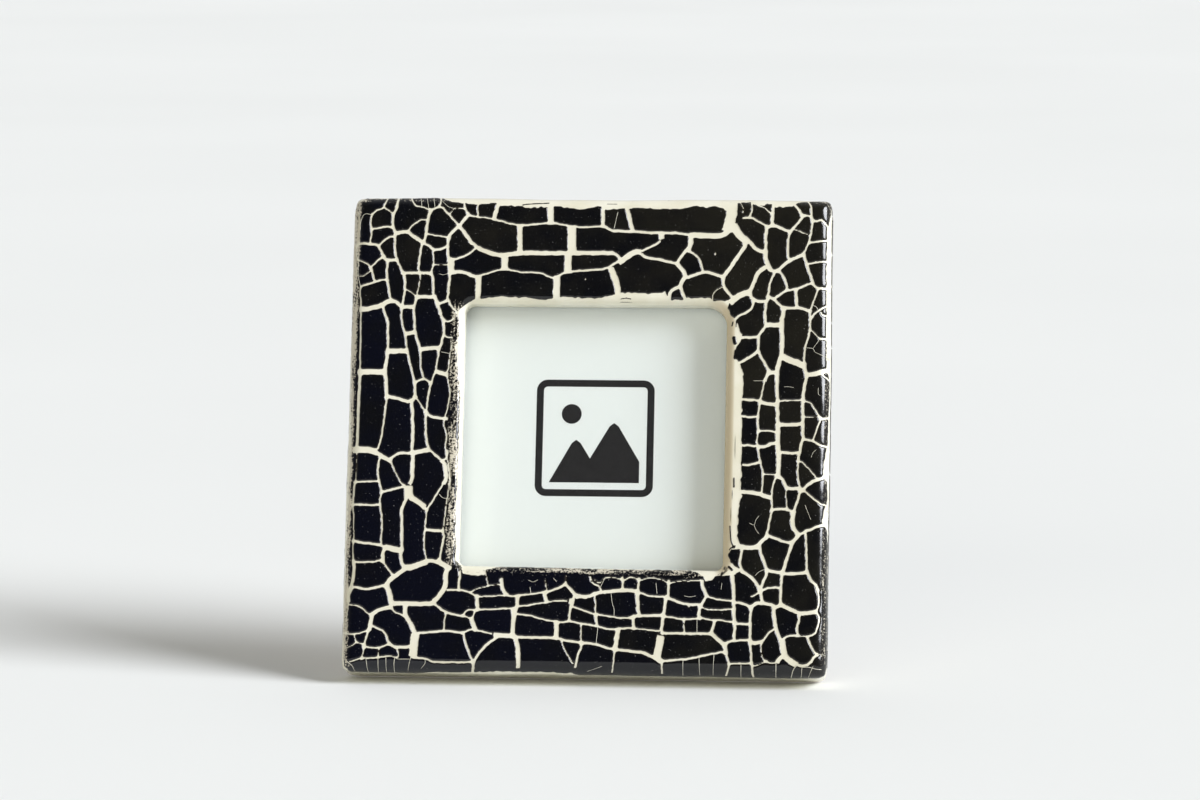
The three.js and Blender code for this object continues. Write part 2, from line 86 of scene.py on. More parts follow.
# The cracks between the black pieces, read from the picture: each has its width, and then the places
# that its curve runs through, across and down, all in picture points.
CRACKS = (
    # Upper left corner
    (2, 372, 214, 377, 210, 384, 207, 390, 198),
    (2, 384, 207, 393, 214),
    (3, 400, 198, 397, 207, 394, 213, 393, 220, 393, 227, 396, 232),
    (2, 372, 214, 371, 222, 372, 230, 370, 244),
    (1.6, 358, 212, 360, 222, 359, 244),
    (2.2, 372, 229, 387, 227, 393, 228),
    (3, 356, 247, 360, 244, 373, 244, 378, 246, 381, 250, 384, 256),
    (2.2, 379, 246, 384, 241, 390, 237, 395, 236),
    (4, 395, 235, 398, 233, 408, 232, 413, 236, 424, 243),
    (2, 408, 232, 412, 226, 421, 220, 427, 220),
    (3.3, 431, 209, 428, 221, 426, 236, 424, 242),
    (2, 412, 199, 413, 202, 416, 206, 421, 207, 431, 210),
    (2.5, 431, 210, 437, 208, 442, 208, 447, 212, 459, 226),
    (2.2, 442, 198, 441, 203, 439, 207),
    (1.5, 450, 214, 454, 209, 459, 208, 465, 209),
    (2.2, 464, 201, 465, 208, 468, 214),
    (3.6, 470, 214, 464, 220, 459, 226, 451, 234, 449, 239),
    (4, 459, 226, 467, 236, 472, 243, 479, 248),
    (2, 428, 234, 449, 238),
    (3, 449, 238, 448, 248, 450, 272, 448, 295, 448, 300),
    (6, 451, 260, 452, 271),
    (2.5, 449, 258, 456, 259, 468, 254, 477, 247),
    (4, 451, 273, 458, 272, 466, 273, 473, 276, 479, 277),
    (3, 424, 243, 429, 246, 433, 249, 437, 250, 449, 246),
    (1.8, 433, 249, 434, 262, 431, 273),
    (1.5, 434, 265, 449, 265),
    (2.8, 431, 273, 433, 279, 434, 295, 437, 302),
    (2.4, 423, 243, 421, 250, 419, 266, 420, 273),
    (3.4, 402, 273, 432, 273),
    (1.8, 420, 273, 420, 280, 417, 297),
    (2.6, 395, 236, 396, 256, 403, 273),
    (3.6, 384, 256, 387, 260, 398, 260),
    (2.6, 388, 260, 387, 274, 390, 295, 392, 301),
    (2.1, 384, 256, 374, 264, 371, 268),
    (2.4, 371, 268, 375, 281),
    (2, 357, 260, 367, 264, 371, 269),
    (1.6, 358, 246, 356, 251, 357, 257, 359, 261),
    (1.5, 358, 275, 363, 276, 372, 270),
    (2.5, 361, 287, 365, 285, 382, 280, 388, 281),
    (2.6, 403, 273, 405, 279, 405, 290, 402, 307),
    (1.6, 406, 290, 409, 291, 417, 297),
    (4, 416, 297, 435, 297),
    (3, 417, 297, 414, 308),
    (4, 401, 307, 414, 307),
    (3.6, 435, 296, 441, 314),
    (3, 437, 303, 441, 303, 448, 300),
    (2.4, 448, 300, 453, 308, 456, 311),
    (5.2, 360, 309, 368, 309, 382, 305, 387, 302, 392, 301),
    (4, 391, 301, 396, 302, 402, 307),
    # Top
    (2, 480, 202, 478, 207, 478, 217),
    (4.5, 500, 202, 494, 219),
    (2, 468, 214, 472, 216, 494, 219),
    (2.4, 494, 219, 519, 225, 553, 223, 576, 227, 602, 226),
    (6.5, 551, 200, 551, 224),
    (5.5, 520, 225, 520, 253),
    (9, 572, 226, 572, 253),
    (4.2, 604, 201, 603, 226),
    (4.4, 626, 205, 633, 231),
    (3.2, 602, 226, 606, 227, 611, 230, 620, 231, 660, 233, 675, 233, 690, 235),
    (6, 690, 235, 714, 236, 725, 234, 732, 225),
    (4.8, 479, 248, 485, 251, 500, 255, 522, 253, 545, 253, 613, 253),
    (3.5, 613, 253, 618, 256, 621, 260),
    (7, 505, 254, 505, 270),
    (7.5, 568, 253, 568, 272),
    (2.2, 479, 276, 492, 272, 506, 269, 520, 272, 541, 273, 547, 276, 553, 278),
    (2.6, 556, 277, 568, 272, 592, 270, 604, 269, 620, 261),
    (6, 479, 276, 478, 304),
    (7.5, 557, 276, 557, 304),
    (6.5, 611, 268, 617, 284, 618, 292, 617, 301),
    (6, 661, 233, 662, 239),
    (2.6, 661, 241, 655, 245, 642, 251),
    (6.2, 641, 252, 633, 253, 619, 263),
    (3.4, 642, 254, 645, 257, 655, 259, 673, 263, 678, 265),
    (4.6, 678, 265, 683, 271, 685, 276, 682, 282, 680, 288),
    (3.8, 680, 287, 674, 289, 670, 294, 669, 303),
    (3.4, 681, 288, 686, 301),
    (3.4, 677, 263, 686, 251),
    (5.2, 691, 235, 691, 241, 690, 247, 687, 251),
    (2.6, 688, 250, 699, 259, 703, 272),
    (3.6, 685, 277, 689, 277, 702, 273, 710, 273, 723, 277),
    (4.3, 746, 243, 742, 251, 723, 278),
    (3.3, 723, 277, 725, 288, 733, 298),
    (1.5, 722, 287, 714, 293, 712, 303),
    (11, 732, 197, 732, 211, 730, 222, 727, 231),
    (8, 734, 225, 738, 233, 747, 242),
    (4.4, 746, 241, 751, 243, 755, 248, 760, 251, 766, 252),
    (3.6, 715, 254, 716, 254),
    (1.6, 585, 279, 586, 280),
    # Upper right corner
    (1.4, 740, 203, 744, 209, 743, 213),
    (2.3, 752, 201, 752, 210, 750, 218),
    (2.4, 743, 218, 751, 218, 756, 220, 768, 227),
    (1.8, 758, 206, 765, 208, 771, 214),
    (3.7, 774, 201, 772, 226),
    (3.8, 767, 227, 775, 226, 790, 232),
    (3.2, 794, 204, 803, 216),
    (2.8, 804, 216, 790, 232),
    (2.2, 802, 216, 810, 216, 813, 220),
    (2.2, 806, 201, 811, 206, 812, 217),
    (2.6, 812, 220, 817, 221, 821, 220, 824, 222, 831, 233),
    (2.3, 813, 220, 810, 239, 803, 255),
    (1.5, 793, 229, 810, 235),
    (2.7, 791, 231, 789, 236, 788, 250, 789, 259),
    (3.6, 804, 254, 789, 261, 778, 270),
    (3.6, 767, 226, 766, 236, 766, 252),
    (4.6, 766, 251, 766, 259, 770, 270),
    (4, 761, 270, 767, 267, 771, 270, 776, 271, 780, 271),
    (4.2, 765, 267, 760, 271, 756, 277, 749, 295),
    (2.6, 775, 272, 770, 283, 768, 299),
    (2.9, 780, 271, 786, 282, 787, 290),
    (2.7, 812, 283, 797, 289, 785, 291, 774, 299),
    (3, 804, 255, 813, 283),
    (2.3, 809, 243, 832, 241),
    (2.1, 807, 264, 819, 262, 832, 263),
    (3, 812, 283, 819, 288, 833, 290),
    (2.2, 818, 289, 810, 311),
    (3, 796, 289, 797, 308),
    (3.5, 782, 307, 788, 308, 797, 308, 804, 309, 811, 312),
    (3, 767, 297, 772, 298, 780, 305, 784, 309),
    (3, 768, 297, 765, 311, 766, 325),
    (3.6, 750, 293, 752, 298, 758, 301, 767, 301),
    (6.5, 730, 303, 736, 298, 743, 294, 750, 292),
    (2.8, 753, 299, 753, 304, 751, 309, 745, 313, 739, 316, 733, 322),
    (2.4, 811, 319, 815, 314, 823, 308, 832, 305),
    (2, 821, 312, 823, 315, 832, 320),
    (2.5, 810, 311, 810, 329, 805, 350, 804, 358, 805, 365),
    (4.8, 784, 308, 783, 315, 782, 323, 782, 350, 778, 367, 777, 374),
    # Left
    (2.2, 361, 286, 360, 293, 361, 309, 360, 375),
    (3.6, 360, 375, 357, 441, 356, 448),
    (2.8, 383, 306, 388, 322, 388, 331, 388, 350),
    (2.2, 402, 307, 402, 321, 406, 338, 407, 351),
    (4, 405, 334, 416, 332),
    (2.8, 414, 307, 415, 325, 416, 335, 421, 350),
    (4.2, 420, 349, 439, 348),
    (3, 440, 313, 443, 320, 444, 329, 442, 341, 439, 350),
    (2.1, 442, 318, 446, 321, 450, 321, 454, 318),
    (2.2, 444, 334, 447, 337, 453, 338),
    (5, 437, 372, 448, 375),
    (2.2, 438, 349, 439, 354, 437, 361, 436, 370, 431, 383),
    (2.4, 431, 382, 427, 404, 426, 412),
    (2.2, 421, 349, 421, 366, 424, 379),
    (2.5, 415, 383, 424, 379, 431, 384),
    (2.4, 407, 350, 415, 382),
    (3, 415, 381, 415, 397),
    (5.6, 387, 351, 408, 351),
    (4, 388, 350, 385, 372, 386, 379, 387, 398),
    (6, 358, 372, 386, 372),
    (3.8, 387, 396, 400, 399, 407, 401, 412, 400, 416, 396),
    (2.3, 387, 397, 382, 433, 378, 449),
    (3.4, 412, 400, 413, 431, 412, 453),
    (1.8, 416, 397, 426, 413),
    (2.6, 426, 411, 426, 434, 429, 449),
    (3.2, 426, 412, 429, 415, 434, 417, 448, 419),
    (7, 353, 450, 368, 450, 376, 452),
    (5, 375, 452, 391, 461),
    (3, 390, 460, 393, 457, 401, 453, 413, 453),
    (1.9, 390, 460, 400, 481, 404, 485),
    (2.3, 380, 455, 378, 474, 382, 492),
    (2.2, 354, 482, 380, 481),
    (2.8, 382, 492, 406, 486),
    (4.2, 413, 452, 413, 462, 412, 479, 410, 484),
    (9, 409, 486, 409, 498),
    (6, 410, 498, 415, 500, 425, 507),
    (3, 424, 507, 427, 511),
    (3.4, 407, 497, 402, 510, 402, 520, 402, 550),
    (2.2, 382, 491, 380, 503, 382, 520, 381, 544),
    (2.6, 353, 505, 380, 505),
    (3, 353, 541, 378, 545, 386, 547),
    (6, 385, 547, 397, 550, 402, 551),
    (4.6, 412, 453, 429, 450),
    (2.8, 429, 449, 442, 461),
    (4, 442, 461, 445, 466, 446, 478, 444, 484),
    (2.2, 444, 483, 427, 510),
    (2, 442, 461, 447, 457, 448, 450),
    (1.9, 427, 509, 424, 544, 425, 551, 427, 560),
    (3.3, 425, 530, 444, 531),
    (2.6, 442, 531, 444, 536, 443, 542, 440, 559),
    (1.4, 356, 448, 357, 456, 356, 481),
    (2.6, 356, 481, 354, 487, 353, 505),
    (1.8, 353, 505, 354, 534, 353, 542),
    # Right
    (5, 765, 325, 782, 325),
    (3, 767, 324, 758, 337),
    (3, 741, 338, 759, 337),
    (3.2, 759, 337, 758, 352),
    (3, 759, 351, 745, 360, 739, 363),
    (3, 758, 351, 770, 372),
    (3.4, 769, 370, 765, 381),
    (4.2, 767, 373, 778, 373),
    (4, 777, 373, 778, 424),
    (7, 783, 356, 787, 359, 805, 366),
    (4, 804, 365, 807, 376),
    (5, 807, 375, 815, 374, 832, 369),
    (2.3, 821, 373, 824, 377, 833, 385),
    (3.6, 807, 375, 804, 391, 803, 400),
    (2, 778, 401, 804, 400),
    (3.4, 803, 399, 803, 425),
    (4, 778, 425, 803, 424),
    (2, 803, 401, 811, 404, 820, 418),
    (1.4, 804, 417, 820, 417),
    (3, 819, 418, 824, 419, 832, 418),
    (2, 821, 418, 816, 431, 813, 441),
    (1.8, 810, 329, 820, 339),
    (2.6, 820, 339, 832, 340),
    (2.8, 741, 399, 761, 401),
    (2.2, 765, 380, 760, 401),
    (4, 760, 401, 764, 403, 778, 405),
    (2.4, 760, 401, 758, 419, 759, 431),
    (2.6, 741, 416, 748, 417, 758, 417),
    (2.2, 758, 431, 770, 431, 778, 433),
    (1.9, 759, 430, 757, 440, 758, 447),
    (2.6, 741, 445, 758, 446),
    (3.4, 758, 447, 767, 446, 771, 444, 778, 443),
    (2.1, 758, 446, 761, 465, 763, 472, 762, 492),
    (2.6, 742, 465, 749, 465, 761, 462),
    (1.6, 763, 474, 773, 475, 779, 476),
    (4.6, 740, 492, 755, 493, 771, 498),
    (2.2, 778, 476, 775, 480, 772, 492, 772, 510),
    (5, 778, 424, 778, 445, 779, 461, 778, 477),
    (3.2, 779, 452, 786, 453, 799, 453),
    (3.3, 803, 424, 803, 438, 801, 445, 798, 461),
    (2.2, 798, 461, 798, 476, 800, 489),
    (2.6, 803, 439, 812, 441, 822, 446, 832, 448),
    (1.9, 798, 461, 803, 463, 811, 471, 817, 479),
    (3.3, 804, 489, 809, 484, 820, 479, 832, 478),
    (3.6, 778, 477, 782, 479, 785, 484, 788, 488, 800, 489),
    (1.7, 787, 489, 786, 495, 787, 510),
    (4.5, 799, 489, 804, 491),
    (3, 801, 490, 794, 512),
    (2.2, 803, 490, 818, 502, 823, 505, 832, 508),
    (3, 771, 510, 785, 509, 794, 512),
    (5, 793, 512, 793, 526, 798, 535),
    (2.6, 772, 509, 767, 534, 766, 538),
    (3, 767, 535, 785, 542, 793, 542),
    (4.2, 767, 536, 756, 548),
    (4, 799, 535, 792, 543),
    (3, 797, 535, 801, 534, 807, 531, 820, 526, 828, 526),
    (2.6, 805, 533, 806, 538, 807, 572),
    (4.8, 736, 546, 751, 548, 760, 546),
    (3, 759, 546, 767, 571),
    (2.8, 742, 548, 740, 563, 743, 572),
    (1.5, 729, 552, 732, 549, 742, 548),
    (3.4, 766, 570, 790, 574, 808, 572),
    (3.6, 792, 542, 790, 550, 782, 573),
    # Lower left
    (2, 353, 541, 353, 560),
    (4, 353, 560, 354, 570, 351, 588),
    (5.5, 351, 588, 348, 595, 348, 602),
    (1.5, 348, 602, 345, 627, 346, 634),
    (3.8, 386, 547, 383, 553, 383, 562),
    (2.3, 353, 562, 370, 562, 383, 560),
    (2.4, 382, 561, 391, 573, 394, 576),
    (3.6, 402, 550, 401, 556, 404, 569),
    (4.6, 386, 584, 391, 579, 405, 569),
    (6, 405, 568, 412, 567, 427, 562),
    (4, 426, 562, 431, 561, 436, 562, 451, 568),
    (5, 437, 560, 447, 567),
    (5, 449, 567, 446, 573, 445, 586, 439, 596, 434, 601),
    (3, 459, 566, 460, 574, 459, 582, 459, 591),
    (2.4, 447, 590, 466, 591, 477, 597),
    (3, 350, 588, 356, 587, 369, 589, 388, 584),
    (5.6, 386, 585, 389, 592, 392, 606),
    (4.8, 391, 603, 425, 604, 435, 602),
    (2, 348, 605, 358, 606, 367, 612, 372, 616),
    (4, 371, 615, 379, 610, 392, 607),
    (4.2, 372, 615, 369, 630),
    (2.4, 369, 629, 365, 642, 364, 648),
    (2.4, 370, 625, 377, 628, 382, 630, 386, 635, 389, 643),
    (2, 391, 607, 395, 612, 405, 616),
    (5, 406, 605, 405, 611, 407, 617, 413, 628, 415, 634),
    (8.5, 415, 634, 413, 656),
    (3.4, 389, 643, 393, 646, 398, 647, 412, 647),
    (2.1, 363, 646, 376, 648, 390, 644),
    (1.8, 364, 647, 362, 659),
    (1.8, 379, 648, 378, 658),
    (2, 343, 633, 355, 634, 369, 630),
    (1.5, 354, 634, 356, 642),
    (1.5, 356, 642, 353, 645, 346, 648),
    (1.8, 356, 642, 365, 645),
    (1.9, 362, 658, 349, 662),
    (2, 361, 658, 372, 658, 388, 656, 397, 658),
    (1.8, 397, 658, 399, 655, 398, 651, 396, 648),
    (2.6, 411, 657, 426, 659, 437, 662, 473, 662),
    (2.8, 418, 633, 445, 631, 462, 633),
    (2, 446, 613, 444, 625, 444, 631),
    (2.6, 434, 603, 437, 606, 448, 613, 463, 616),
    # Bottom
    (2, 463, 615, 465, 612, 469, 610, 477, 610),
    (2, 476, 610, 472, 619),
    (1.9, 462, 615, 472, 619),
    (4.6, 471, 618, 476, 631),
    (2.2, 461, 633, 470, 630, 476, 630, 492, 634),
    (5, 494, 635, 514, 636),
    (2.4, 463, 632, 466, 644, 473, 662),
    (3, 498, 637, 490, 642, 480, 652, 474, 662),
    (3.2, 474, 660, 473, 672),
    (4.6, 514, 635, 518, 648, 518, 668),
    (4.6, 513, 609, 514, 615, 512, 636),
    (3.2, 512, 636, 520, 637, 557, 638),
    (5, 557, 621, 556, 638),
    (2.8, 556, 638, 569, 641, 582, 643),
    (1.8, 561, 639, 565, 650, 573, 664),
    (2.7, 581, 642, 581, 648, 578, 655, 575, 668),
    (2.3, 516, 614, 532, 616, 550, 621, 563, 622, 570, 621),
    (2, 517, 606, 523, 606, 555, 601, 567, 601),
    (4, 518, 595, 517, 607, 514, 613),
    (2.2, 477, 610, 516, 608),
    (3.8, 477, 595, 478, 610),
    (1.8, 476, 597, 508, 595),
    (1.6, 471, 592, 477, 589, 494, 585, 501, 585),
    (1.4, 486, 573, 488, 586),
    (4, 501, 578, 503, 589, 506, 594),
    (2.1, 506, 594, 512, 596, 533, 594, 539, 593, 546, 592),
    (1.5, 545, 580, 547, 593),
    (1.5, 566, 576, 566, 584),
    (3.8, 544, 592, 547, 602),
    (2.5, 544, 593, 561, 587, 566, 583),
    (3.6, 565, 584, 572, 591, 576, 595, 580, 596),
    (6, 572, 599, 571, 604),
    (2.8, 574, 596, 571, 606, 569, 621),
    (2.4, 571, 606, 597, 615),
    (2.4, 569, 621, 583, 624, 597, 626, 611, 629, 634, 628),
    (1.8, 581, 624, 581, 642),
    (4, 576, 597, 590, 596, 597, 593, 625, 590, 639, 592),
    (2.2, 590, 576, 591, 581, 594, 584, 599, 586, 601, 590),
    (2.6, 622, 577, 623, 583, 622, 590),
    (2.6, 639, 578, 638, 592),
    (2.3, 638, 592, 650, 596, 667, 597),
    (3, 669, 580, 668, 598),
    (3, 666, 597, 685, 604, 701, 605),
    (3.8, 637, 592, 638, 607, 639, 615),
    (2.2, 596, 614, 620, 618, 630, 618),
    (3.2, 630, 618, 637, 616, 664, 615),
    (1.8, 595, 596, 596, 615),
    (3.2, 596, 614, 597, 626),
    (3, 633, 617, 634, 629),
    (2, 633, 628, 659, 631),
    (3.6, 667, 597, 665, 605, 661, 634),
    (8, 661, 636, 657, 656),
    (3, 662, 633, 712, 634),
    (2.4, 663, 616, 684, 619, 701, 618),
    (2, 684, 618, 684, 634),
    (3.4, 700, 605, 699, 615, 701, 619),
    (3, 580, 643, 594, 644, 615, 650),
    (5, 618, 629, 615, 650),
    (3.4, 614, 649, 636, 652, 644, 653, 662, 662),
    (2, 615, 650, 612, 673),
    (2.4, 662, 660, 662, 674),
    (5, 656, 657, 661, 661),
    (2.4, 660, 661, 687, 659, 717, 653, 726, 653),
    # Lower right
    (3.2, 807, 571, 811, 580, 816, 585, 818, 591),
    (2.1, 818, 590, 819, 603, 815, 613),
    (4.4, 780, 604, 792, 610, 799, 613, 807, 613, 817, 612),
    (3, 782, 572, 780, 605),
    (2.5, 760, 592, 769, 588, 781, 588),
    (3.2, 767, 570, 766, 575, 761, 587, 760, 592),
    (3.5, 741, 571, 751, 577, 756, 583, 760, 591),
    (3.1, 760, 590, 763, 603),
    (2, 751, 597, 760, 592),
    (3.8, 732, 573, 733, 581, 734, 602, 734, 618, 735, 624),
    (2.9, 734, 602, 744, 604, 751, 608),
    (3.5, 750, 608, 758, 603, 771, 605, 776, 607, 781, 605),
    (3.1, 751, 607, 750, 634, 750, 641),
    (2.6, 750, 640, 752, 667, 754, 677),
    (3, 735, 623, 739, 624, 750, 624),
    (3.2, 735, 623, 734, 640),
    (2.8, 723, 644, 734, 641, 750, 640),
    (4, 750, 642, 755, 643, 762, 642),
    (2.4, 762, 642, 770, 632, 776, 629),
    (1.6, 762, 641, 761, 648, 763, 658, 767, 662),
    (3.9, 774, 606, 774, 614, 776, 628, 781, 641),
    (2.4, 781, 641, 789, 636, 799, 636),
    (2.8, 799, 613, 799, 620, 797, 628, 798, 636),
    (1.5, 798, 636, 808, 637),
    (2.3, 807, 637, 816, 632, 819, 620, 818, 615, 815, 612),
    (2.4, 807, 637, 814, 651, 818, 655),
    (2.9, 818, 654, 814, 657, 811, 662, 807, 665, 801, 666, 795, 664),
    (6.4, 782, 641, 784, 652, 787, 658, 796, 665),
    (4.5, 785, 656, 781, 658, 777, 662),
    (1.9, 765, 661, 771, 663, 778, 662),
    (1.4, 753, 666, 758, 665, 767, 661),
    (4.4, 725, 643, 726, 654),
    (2.4, 726, 653, 729, 665, 726, 676),
    (2.2, 729, 664, 752, 663),
    (4.4, 711, 633, 725, 646),
    (3.4, 715, 620, 711, 634),
    (2.1, 700, 618, 712, 620, 720, 620, 735, 623),
    (1.9, 701, 607, 712, 610, 734, 609),
    (3.2, 707, 595, 700, 607),
    (2.2, 706, 595, 709, 597, 722, 600, 734, 601),
    (3.4, 702, 580, 703, 586, 707, 596),
    # Along the window's left side and its foot
    (1.8, 452, 345, 450, 356, 449, 368, 447, 374, 450, 392, 448, 406, 444, 423, 447, 434, 446, 448,
     450, 478, 449, 486, 443, 530),
    (1.6, 594, 580, 600, 583, 604, 579, 612, 577, 623, 580, 631, 577, 640, 580, 649, 578, 660, 579,
     669, 583, 680, 581, 702, 581),
    # Pinhole
    (2, 688, 607, 689, 607),
)

# Hair-thin pale lines on the black pieces, in the same form
FINE_LINES = (
    # On the face
    (1.2, 372, 215, 366, 214, 363, 217, 361, 224, 361, 230),
    (1.2, 427, 199, 429, 209),
    (1, 421, 199, 422, 207),
    (1, 434, 199, 435, 208),
    (1.3, 442, 202, 448, 207, 454, 209),
    (1, 439, 274, 444, 275, 449, 273),
    (1.2, 359, 261, 359, 268, 359, 276, 361, 287),
    (1, 618, 212, 614, 229),
    (1.2, 812, 305, 816, 307, 818, 310),
    (1, 441, 352, 451, 354),
    (1.2, 439, 494, 443, 498, 449, 499),
    (1.2, 819, 340, 813, 349),
    (1.2, 806, 348, 813, 349, 816, 353, 829, 361),
    (1.2, 753, 381, 765, 381),
    (1.1, 530, 587, 531, 594),
    (1.3, 605, 578, 600, 588),
    (1, 656, 583, 657, 594),
    (1.1, 611, 593, 612, 602, 614, 609, 614, 616),
    (1.2, 697, 618, 697, 634),
    (1.2, 598, 626, 596, 644),
    (1.2, 755, 576, 759, 572, 766, 569),
    (1.3, 722, 583, 721, 590),
    (1.2, 749, 523, 754, 525, 756, 520, 759, 516),
    (1.2, 754, 525, 756, 530, 759, 534),
    (1.3, 818, 388, 818, 394, 820, 396),
    (1.3, 816, 450, 813, 453, 811, 458),
    (1.3, 805, 505, 808, 513, 811, 520),
    (1.2, 784, 387, 789, 387, 794, 388),
    (1.3, 684, 596, 690, 597, 696, 596),
    (1.2, 528, 580, 533, 582, 538, 580),
    (1.3, 553, 578, 557, 582),
    # Over the lower edge
    (1.2, 397, 659, 411, 659),
    (1.2, 378, 658, 379, 673),
    (1.2, 386, 656, 387, 673),
    (1.3, 741, 664, 741, 677),
    (1.1, 587, 671, 602, 666),
    (1.3, 366, 658, 369, 673),
    (1.6, 395, 657, 394, 663, 395, 673),
    (1.3, 411, 657, 409, 664, 408, 670),
    (1.5, 343, 655, 351, 664, 356, 673),
    (1.3, 425, 659, 425, 663, 421, 668),
    (1.4, 683, 659, 683, 675),
    (1.5, 699, 657, 700, 675),
    (1.8, 776, 662, 776, 677),
    (1.8, 797, 665, 793, 670, 791, 677),
    (1.5, 802, 667, 801, 677),
    (1.5, 813, 666, 808, 677),
    (1.3, 714, 654, 713, 675),
    (1.6, 795, 665, 802, 667, 808, 667, 821, 669),
    (1.4, 817, 654, 825, 656),
)

# Black dashes that lie on the cream beyond the pieces, in the same form
DASHES = (
    # Top edge
    (1.6, 501, 203, 507, 202, 518, 203),
    (2.4, 523, 205, 531, 204, 549, 203),
    (1.2, 552, 201, 572, 201),
    (1.8, 607, 204, 617, 204),
    (1.8, 619, 204, 626, 205),
    (1.2, 701, 202, 716, 203, 726, 202),
    # Top of the window
    (1.6, 474, 302, 484, 303),
    (2, 621, 299, 626, 298, 631, 299),
    (1.5, 616, 303, 624, 302, 642, 303),
    (2, 711, 301, 711, 305),
    (1.6, 713, 304, 719, 306, 725, 308),
    # Right of the window
    (2.5, 733, 322, 732, 326),
    (2, 736, 322, 736, 327),
    (2, 732, 329, 733, 334),
    (5, 734, 338, 735, 343),
    (4, 736, 351, 735, 358),
    (1.4, 735, 365, 735, 376, 737, 386),
    (1.3, 735, 432, 735, 450, 734, 470),
    (2.6, 734, 478, 734, 487),
    (1.5, 733, 487, 732, 498, 731, 515, 730, 530),
    (2.4, 730, 526, 731, 540, 733, 546),
    (3.5, 729, 567, 732, 570),
    (2.2, 711, 575, 711, 578),
    # Right edge
    (1.8, 832, 206, 832, 220, 832, 235),
    (1.6, 832, 238, 832, 250, 833, 259),
    (1.8, 833, 287, 834, 296, 833, 304),
    (1.4, 834, 327, 834, 357),
    (2, 833, 361, 832, 372, 833, 388),
    (2, 831, 462, 831, 468),
    (2, 830, 502, 831, 508),
    (2.5, 828, 524, 829, 518, 831, 515),
    # Specks in wide cracks
    (2.6, 660, 632, 660, 633),
    (1.6, 399, 351, 399, 352),
)

# Where the black glaze ends towards the outside and towards the window, clockwise in picture points
OUTER_LIMIT = (
    357, 206, 361, 202, 367, 199, 441, 199, 450, 202, 477, 205, 497, 203, 501, 206, 522, 206, 525, 208,
    555, 206, 580, 209, 602, 206, 606, 209, 640, 208, 680, 209, 697, 206, 706, 208, 714, 206, 726, 210,
    737, 203, 751, 203, 757, 206, 765, 206, 767, 204, 772, 204, 775, 207, 793, 207, 797, 203, 811, 202,
    831, 203, 831, 215, 827, 232, 826, 368, 829, 385, 827, 446, 825, 452, 822, 477, 827, 482, 827, 502,
    824, 510, 822, 524, 827, 530, 829, 580, 827, 666, 824, 676, 815, 681, 580, 676, 572, 673, 500, 671,
    455, 672, 436, 672, 385, 677, 356, 675, 350, 672, 345, 667, 343, 657, 343, 630, 351, 450, 355, 215,
)
INNER_LIMIT = (
    458, 310, 476, 299, 500, 297, 530, 298, 546, 300, 563, 297, 595, 299, 622, 293, 652, 294, 665, 292,
    671, 300, 683, 300, 686, 298, 710, 298, 713, 301, 729, 301, 728, 308, 731, 316, 737, 322, 742, 335,
    741, 340, 734, 351, 734, 358, 738, 360, 741, 366, 744, 380, 742, 402, 741, 490, 742, 495, 738, 512,
    737, 535, 740, 544, 730, 548, 728, 555, 730, 563, 742, 570, 735, 575, 715, 576, 711, 580, 705, 581,
    704, 576, 690, 571, 500, 567, 486, 569, 484, 575, 475, 575, 463, 574, 461, 568, 457, 566, 455, 560,
    456, 545, 455, 530, 460, 400, 456, 345, 459, 335, 459, 320, 456, 313,
)

# Cracks: millimetres to a picture point, what the rims beside a crack take off its width, and its least width
POINT_SIZE = 0.27
CRACK_CLOSING = 0.21
THINNEST_CRACK = 0.2
CURVE_STEPS = 4
CORNER_BLEND = 0.5
# The grid that the black pieces are cut on, and the fewest of its points that make a piece
GRID_STEP = 0.27
CUT_MARGIN = 0.02
SMALLEST_CHIP = 8
CHIP_DEPTH = -0.02
# Relief of the black pieces: the distance inside an edge that counts as full, the rounded rim, and heights
FULL_DEPTH = 2.5
RIM_WIDTH = 0.42
GLAZE_HEIGHT = 0.2
GLAZE_SINK = 0.035
GLAZE_SWELL = 0.05
# Ridges of the hair-thin lines: heights of crest and foot, length of a step, and shares of the line's width
RIDGE_LIFT = 0.29
RIDGE_FOOT = 0.23
RIDGE_STEP = 0.3
RIDGE_WIDTH = 0.65
RIDGE_END_WIDTH = 0.2

# Random unevenness: its height, its size across the plane and its seed
BROAD_WAVE = (0.2, 19, 11)
SMALL_WAVE = (0.07, 6, 12)
COARSE_SHAKE = ((0.1, 1.3, 23), (0.1, 1.3, 24))
FINE_SHAKE = ((0.07, 0.55, 25), (0.07, 0.55, 26))
RAGGED_LIMIT = (0.25, 0.9, 27)
RAGGED_SIDE = (0.5, 3.0, 42)
SIDE_STREAKS = (0.3, 1, 61)
FOOT_STREAKS = (0.3, 1, 62)
# Cells of random values before they repeat, and a start that keeps their numbers positive
FIELD_CELLS = 64
FIELD_START = 512.5
# Depth where the waves of the outer sides have faded out, and the distance that this takes
WAVE_END = BODY_DEPTH - 1
WAVE_FADE = 5

# Tint of the black pieces, with its change for each millimetre across and up
TINT_MIDDLE = 0.5
TINT_ACROSS = 0.004
TINT_UP = 0.003
TINT_SPREAD = 0.14
TINT_MOST = 0.85
TINT_SEED = 31

# Wear of the black pieces. A rise is the distance past an edge where it starts, and how far it takes to grow
OUTER_WEAR_RISE = (0.9, 1.8)
OUTER_WEAR = 0.36
OUTER_LEFT_WEAR = 0.24
OUTER_LOW_RELIEF = 0.13
LIP_WEAR_RISE = (-1.3, 2.2)
LIP_WEAR = 0.1
LIP_LOW_WEAR = 0.34
LIP_LEFT_WEAR_RISE = (-2.4, 1.8)
LIP_LEFT_WEAR = 0.45
SIDE_WEAR_RISE = (9, 5)
SIDE_WEAR = 0.3
SIDE_BACK_WEAR = 0.2
